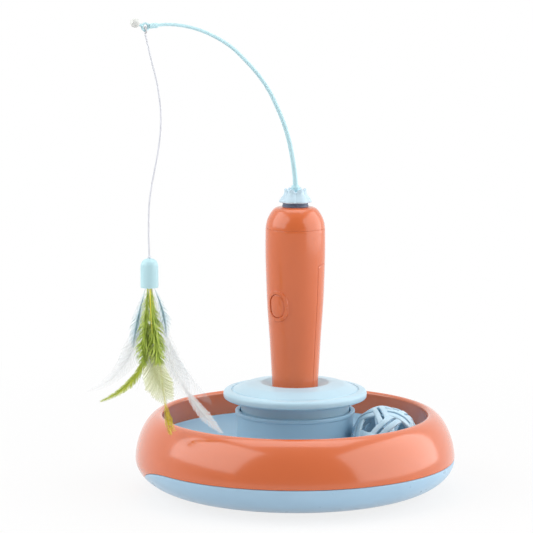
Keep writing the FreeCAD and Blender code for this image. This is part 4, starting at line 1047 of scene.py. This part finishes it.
# Capsule: a glossy aqua cap with a domed top, pushed over the feathers' quills and glued.
# A pale plug in its mouth grips the quills, and three turns of the cord are knotted over its top.
capsule_x, capsule_y = -106.3, -70.3
capsule_place = upright(capsule_x, capsule_y)
capsule_section = filleted(
    (0.72, 186.0), (1.6, 186.0, 0.4), (3.6, 185.4, 3), (5.3, 184.0, 3), (6.3, 181.8, 3), (6.5, 179.5, 4),
    (6.5, 165.0, 0.3), (6.2, 164.8, 0.2), (5.4, 164.8, 0.2), (5.2, 165.2, 0.2), (5.2, 181.8), (0.72, 181.8),
)
capsule = lathed("capsule", capsule_section, 72, capsule_place)
fitted("capsule", capsule, aqua, "lure", ["feather_capsule"])
finish_solids(off_white, "capsule_plug")
knot_radius = 0.5
knot_angles = [math.radians(a) for a in range(0, 360, 30)]
knot = []
for reach, height in ((0.55, 186.5), (0.75, 187.1), (0.5, 187.7)):
    coil = [(reach + knot_radius * math.cos(a), height + knot_radius * math.sin(a)) for a in knot_angles]
    knot.append(turned([(r * mm, z * mm) for r, z in coil], 24, capsule_place))
fitted("cord_whip", solid_mesh("cord_whip", *knot, sharp=80), cord_white, "lure", [])

# Feathers: twelve dyed feathers and a bare quill in one bunch, their quills glued in the capsule's plug.
# White vanes sweep out to the sides, olive marabou fluffs the middle, and pale blue down fills in behind.
# Every barb is set on its quill by one node tree, from a fixed seed.
bunch = Vector((capsule_x, capsule_y, 165.8))
feather_face = (0, -1, 0)
quill_steps, quill_thinning = 40, 0.76


def downy(name, low_tone, high_tone, cover):
    """Dyed down: each barb has its own tone between two, and cover says how much light it stops."""
    material, add, dress = material_kit(name)
    tone = add("ShaderNodeAttribute", attribute_name="tone").node.outputs["Fac"]
    tint = add("ShaderNodeMix", tone, low_tone, high_tone, data_type="RGBA")
    dress(Alpha=cover, Roughness=0.75, Sheen_Weight=0.3, Base_Color=tint)
    return material


def barbs_tree():
    """Barbs along a quill on both sides, longest at one place, leaning to the tip and rolled at random."""
    tree, add, given = piece_tree(
        "barbs", Barb="Object", Count="Int", Length="Float", Start="Float", Widest="Float",
        Taper="Float", Lean="Float", Roll="Float", Skew="Float", Ruffle="Float", Facing="Vector",
        Seed="Int", Finish="Material",
    )

    def worked(operation, *values):
        return add("ShaderNodeMath", *values, operation=operation)

    def aimed(operation, *values, **named):
        return add("ShaderNodeVectorMath", *values, operation=operation, **named)

    def chance(low, high, step):
        seed = worked("ADD", given["Seed"], step)
        return add("FunctionNodeRandomValue", low, high, None, seed, data_type="FLOAT")

    def rolled(vector):
        turn = add("ShaderNodeVectorRotate", rotation_type="AXIS_ANGLE", Vector=vector, Axis=way, Angle=roll)
        return aimed("SCALE", turn, Scale=sign)

    line = add("GeometryNodeMeshToCurve", given["Geometry"])
    points = add("GeometryNodeCurveToPoints", line, given["Count"], mode="COUNT")
    way = points.node.outputs["Tangent"]
    index = add("GeometryNodeInputIndex")
    share = worked("DIVIDE", index, given["Count"])
    rise = add("ShaderNodeMapRange", share, given["Start"], given["Widest"], 0.0, 1.0)
    fall = add("ShaderNodeMapRange", share, given["Widest"], 1.0, 1.0, 0.12)
    fullness = worked("POWER", worked("MINIMUM", rise, fall), given["Taper"])
    sign = worked("SUBTRACT", worked("MULTIPLY", worked("MODULO", index, 2.0), 2.0), 1.0)
    skewed = worked("MULTIPLY", given["Length"], worked("MULTIPLY_ADD", sign, given["Skew"], 1.0))
    short = worked("MULTIPLY", given["Ruffle"], chance(-1.4, 0.3, 1))
    length = worked("MULTIPLY", worked("MULTIPLY", fullness, skewed), worked("ADD", short, 1.0))
    stray = worked("MULTIPLY", given["Ruffle"], chance(-1.0, 1.0, 2))
    lean = worked("MULTIPLY", given["Lean"], worked("ADD", stray, 1.0))
    roll = worked("MULTIPLY", given["Roll"], chance(-1.0, 1.0, 3))
    side = rolled(aimed("NORMALIZE", aimed("CROSS_PRODUCT", way, given["Facing"])))
    out = aimed("SCALE", side, Scale=worked("SINE", lean))
    onward = aimed("SCALE", way, Scale=worked("COSINE", lean))
    pointing = add("FunctionNodeAlignRotationToVector", None, None, aimed("ADD", out, onward), axis="X")
    flat = rolled(given["Facing"])
    turn = add("FunctionNodeAlignRotationToVector", pointing, None, flat, axis="Z", pivot_axis="X")
    barb = add("GeometryNodeObjectInfo", given["Barb"]).node.outputs["Geometry"]
    copies = add("GeometryNodeInstanceOnPoints", points, Instance=barb, Rotation=turn, Scale=length)
    tone = chance(0.0, 1.0, 4)
    toned = add("GeometryNodeStoreNamedAttribute", copies, None, "tone", tone, domain="INSTANCE")
    made_real(add, toned, given["Finish"])
    return tree


def barb_object(name, bends, width, taper=0.8):
    """A barb one unit long: a tapering three-sided strand with its bends to one side."""
    line = [Vector((i / (len(bends) - 1), bend, 0)) for i, bend in enumerate(bends)]
    strand = wire(line, lambda share: width * (1 - taper * share), Vector((0, 0, 1)), 3)
    return set_down(name, solid_mesh(name, *strand, sharp=80))


barbs_on_quill = barbs_tree()
vane_barb = barb_object("vane_barb", (0, -0.02, -0.06, -0.13, -0.23), 0.034, 0.4)
down_barb = barb_object("down_barb", (0, 0.05, 0.06, 0.0, -0.08, -0.1, -0.04, 0.02, -0.06), 0.03)
tuft_barb = barb_object("tuft_barb", (0, 0.04, 0.05, 0.0, -0.07, -0.12, -0.1), 0.055)


def quill_line(root, through, tip):
    """A bent line from its root to its tip through a third place, all in millimetres from the bunch."""
    a, c = Vector(root), Vector(tip)
    b = Vector(through) * 2 - (a + c) * 0.5
    shares = [i / quill_steps for i in range(quill_steps + 1)]
    return [(bunch + a * (1 - t) ** 2 + b * (2 * t * (1 - t)) + c * t**2) * mm for t in shares]


def feather(
    places, material, barb, count, length, widest, lean, roll, seed, start=0.0, taper=0.75, skew=0.0,
    ruffle=0.22, quill=0.5, quill_tone=1.0,
):
    """One feather: a bent tapering quill and its barbs; sizes in millimetres and degrees."""
    line = quill_line(*places)
    spine = bpy.data.meshes.new("quill")
    spine.from_pydata(line, [(i, i + 1) for i in range(quill_steps)], [])
    barbs = grown(
        spine, barbs_on_quill, Barb=barb, Count=count, Length=length * mm, Start=start, Widest=widest,
        Taper=taper, Lean=math.radians(lean), Roll=math.radians(roll), Skew=skew, Ruffle=ruffle,
        Facing=feather_face, Seed=seed, Finish=material,
    )
    rod = wire(line, lambda share: quill * (1 - quill_thinning * share) * mm, Vector(feather_face), 6)
    shaft = solid_mesh("shaft", *rod, sharp=80)
    tone = shaft.attributes.new("tone", "FLOAT", "POINT")
    tone.data.foreach_set("value", [quill_tone] * len(shaft.vertices))
    return joined("feather", barbs, shaft)


white_down = downy("white_down", srgb(230, 245, 252), srgb(252, 254, 254), 0.045)
left_white = ((-3.6, 1.6, 0), (-15, 3.5, -52), (-46.1, 5, -78.5))
right_white = ((2.6, 1.5, 0), (16, 1.5, -44), (44, 2, -84))
inner_white = ((2.2, 2.6, 0), (11, 4, -46), (25, 4, -82))
fluff_white = ((-0.6, 0.7, 0), (-4, 0.5, -48), (-9.5, -1, -76))
white_feathers = joined(
    "white",
    feather(left_white, white_down, vane_barb, 1100, 14, 0.4, 24, 10, 11, taper=1.1, ruffle=0.07, quill=0.4),
    feather(right_white, white_down, vane_barb, 520, 13, 0.5, 20, 6, 12, skew=0.6, ruffle=0.05, quill=0.3),
    feather(inner_white, white_down, vane_barb, 440, 16, 0.68, 25, 8, 15, taper=0.6, ruffle=0.06, quill=0.2),
    feather(fluff_white, white_down, down_barb, 170, 13, 0.7, 24, 25, 13),
)
fitted("white_plumes", white_feathers, white_down, "lure", ["white_feathers"])

stiff_white = downy("stiff_white", srgb(246, 248, 249), srgb(253, 253, 253), 0.5)
low_right = ((1.8, -2.1, 0), (18, -6.2, -60), (52.7, -25.7, -102.8))
stiff = feather(low_right, stiff_white, vane_barb, 600, 8, 0.8, 18, 8, 14, start=0.5, ruffle=0.12)
fitted("stiff_feather", stiff, stiff_white, "lure", [])

blue_down = downy("blue_down", srgb(160, 216, 236), srgb(206, 238, 248), 0.1)
left_blue = ((-2.4, 3.3, 0), (-8, 2, -22), (-12.5, 2, -45))
right_blue = ((2.4, 3.3, 0), (9, 2, -18), (12, 2, -37))
blue_feathers = joined(
    "blue",
    feather(left_blue, blue_down, tuft_barb, 420, 11, 0.5, 24, 50, 21, quill=0.1),
    feather(right_blue, blue_down, tuft_barb, 400, 10, 0.5, 22, 50, 22, quill=0.1),
)
fitted("blue_plumes", blue_feathers, blue_down, "lure", ["blue_feathers"])

olive_down = downy("olive_down", srgb(152, 180, 48), srgb(224, 240, 118), 0.8)
right_olive = ((0.6, -3.4, 0), (3, -5, -26), (6.5, -7, -54))
left_olive = ((-0.8, -2.6, 0), (-2.5, -4, -27), (-4, -6, -55))
marabou = joined(
    "marabou",
    feather(right_olive, olive_down, tuft_barb, 460, 15, 0.66, 27, 110, 31, taper=0.5),
    feather(left_olive, olive_down, tuft_barb, 380, 14, 0.62, 26, 110, 32, taper=0.5),
)
fitted("olive_marabou", marabou, olive_down, "lure", ["green_feathers"])

lime_down = downy("lime_down", srgb(184, 202, 44), srgb(222, 234, 92), 0.7)
low_left = ((-1.8, -2.3, 0), (-4, -4, -54), (-35.3, -9, -83))
narrow = feather(low_left, lime_down, vane_barb, 500, 8, 0.66, 11, 8, 33, start=0.3, ruffle=0.15)
fitted("lime_feather", narrow, lime_down, "lure", [])

cream_down = downy("cream_down", srgb(216, 224, 132), srgb(242, 246, 190), 0.14)
low_middle = ((-1.6, -0.6, 0), (1, -5, -48), (12.7, -7, -81.7))
pale = feather(
    low_middle, cream_down, vane_barb, 800, 16, 0.72, 28, 8, 34, start=0.3, taper=0.6, ruffle=0.1,
    quill_tone=0.0,
)
fitted("pale_feather", pale, cream_down, "lure", [])

gold_down = downy("gold_down", srgb(208, 180, 30), srgb(238, 222, 60), 0.85)
long_gold = ((1.4, -0.5, 0), (7, 1, -55), (14.1, -11, -106.7))
bare_quill = ((0.5, -4.6, 0), (1.2, -11, -15), (2.4, -13, -33))
gold = joined(
    "gold",
    feather(long_gold, gold_down, down_barb, 700, 9, 0.88, 24, 60, 41, start=0.74, skew=-0.3),
    feather(bare_quill, gold_down, down_barb, 2, 0.1, 0.5, 20, 0, 42),
)
fitted("gold_feather", gold, gold_down, "lure", ["yellow_feathers"])
for barb in (vane_barb, down_barb, tuft_barb):
    bpy.data.objects.remove(barb)

# Studio: a white sweep that keeps a faint shadow, with large soft panels round the toy and one overhead.
# The room is white behind and beside the toy and dimmer towards the camera.
# The camera stands where the photograph was taken from, a little above the handle.
sweep = bpy.data.meshes.new("ground")
sweep.from_pydata([(-6, -6, 0), (6, -6, 0), (6, 6, 0), (-6, 6, 0)], [], [(0, 1, 2, 3)])


def seen_rays(add):
    """A camera ray, and one where a ray shows its target: a camera, mirror-like or see-through ray."""
    rays = add("ShaderNodeLightPath").node.outputs
    direct = rays["Is Camera Ray"]
    either = add("ShaderNodeMath", direct, rays["Is Glossy Ray"], operation="MAXIMUM")
    return direct, add("ShaderNodeMath", either, rays["Is Transmission Ray"], operation="MAXIMUM")


white_paper, add, dress = material_kit("white_paper")
dress(Base_Color=(0.8, 0.8, 0.8, 1), Roughness=0.95, Specular_IOR_Level=0.0)
paper_nodes = white_paper.node_tree.nodes
lit = paper_nodes["Principled BSDF"].outputs["BSDF"]
reach = add("ShaderNodeVectorMath", own_place(add), operation="LENGTH")
away = add("ShaderNodeMapRange", reach, 0.2, 0.6, 0.82, 1.0, interpolation_type="SMOOTHSTEP")
share = add("ShaderNodeMath", away, seen_rays(add)[1], operation="MULTIPLY")
paper = add("ShaderNodeMixShader", share, lit, add("ShaderNodeEmission", Strength=1.0))
white_paper.node_tree.links.new(paper, paper_nodes["Material Output"].inputs["Surface"])
floor = set_down("ground", painted(sweep, white_paper))

scene = bpy.context.scene
scene.world = bpy.data.worlds.new("room")
scene.world.use_nodes = True
scene.world.node_tree.nodes.clear()
add = node_kit(scene.world.node_tree)[0]
direct, seen = seen_rays(add)
onward = add("ShaderNodeSeparateXYZ", add("ShaderNodeTexCoord")).node.outputs["Y"]
shown = add("ShaderNodeMapRange", onward, -0.95, 0.35, 0.3, 1.0, interpolation_type="SMOOTHSTEP")
cast = add("ShaderNodeMath", shown, 0.52, operation="MULTIPLY")
walls = [add("ShaderNodeBackground", (1, 1, 1, 1), strength) for strength in (cast, shown, 1.0)]
room = add("ShaderNodeMixShader", seen, walls[0], walls[1])
add("ShaderNodeOutputWorld", add("ShaderNodeMixShader", direct, room, walls[2]))


def soft_panel(name, place, target, size, glow):
    """A soft studio panel aimed at a point; its glow is its brightness beside white paper."""
    light = bpy.data.lights.new(name, "AREA")
    light.shape, light.size, light.size_y = "RECTANGLE", size[0], size[1]
    light.energy = glow * math.pi * size[0] * size[1]
    lamp = set_down(name, light)
    lamp.location = place
    lamp.rotation_euler = (Vector(target) - Vector(place)).to_track_quat("-Z", "Y").to_euler()


soft_panel("right_panel", (1.15, -0.17, 0.62), (0, 0, 0.25), (2.1, 1.4), 1.95)
soft_panel("left_panel", (-1.0, -0.32, 0.8), (0, 0, 0.15), (1.5, 1.1), 2.1)
soft_panel("top_panel", (0.0, 0.1, 1.6), (0, 0, 0.05), (1.4, 1.1), 1.75)

camera_place, camera_dip = (-0.0216, -1.9, 0.434), math.radians(7.9)
camera = set_down("camera", bpy.data.cameras.new("camera"))
camera.location = camera_place
camera.rotation_euler = (math.pi / 2 - camera_dip, 0, 0)
camera.data.sensor_width = 36
camera.data.lens = 172.5
scene.camera = camera
scene.render.resolution_x = scene.render.resolution_y = 533
scene.view_settings.view_transform = "Standard"
scene.view_settings.look = "None"
scene.cycles.transparent_max_bounces = 32
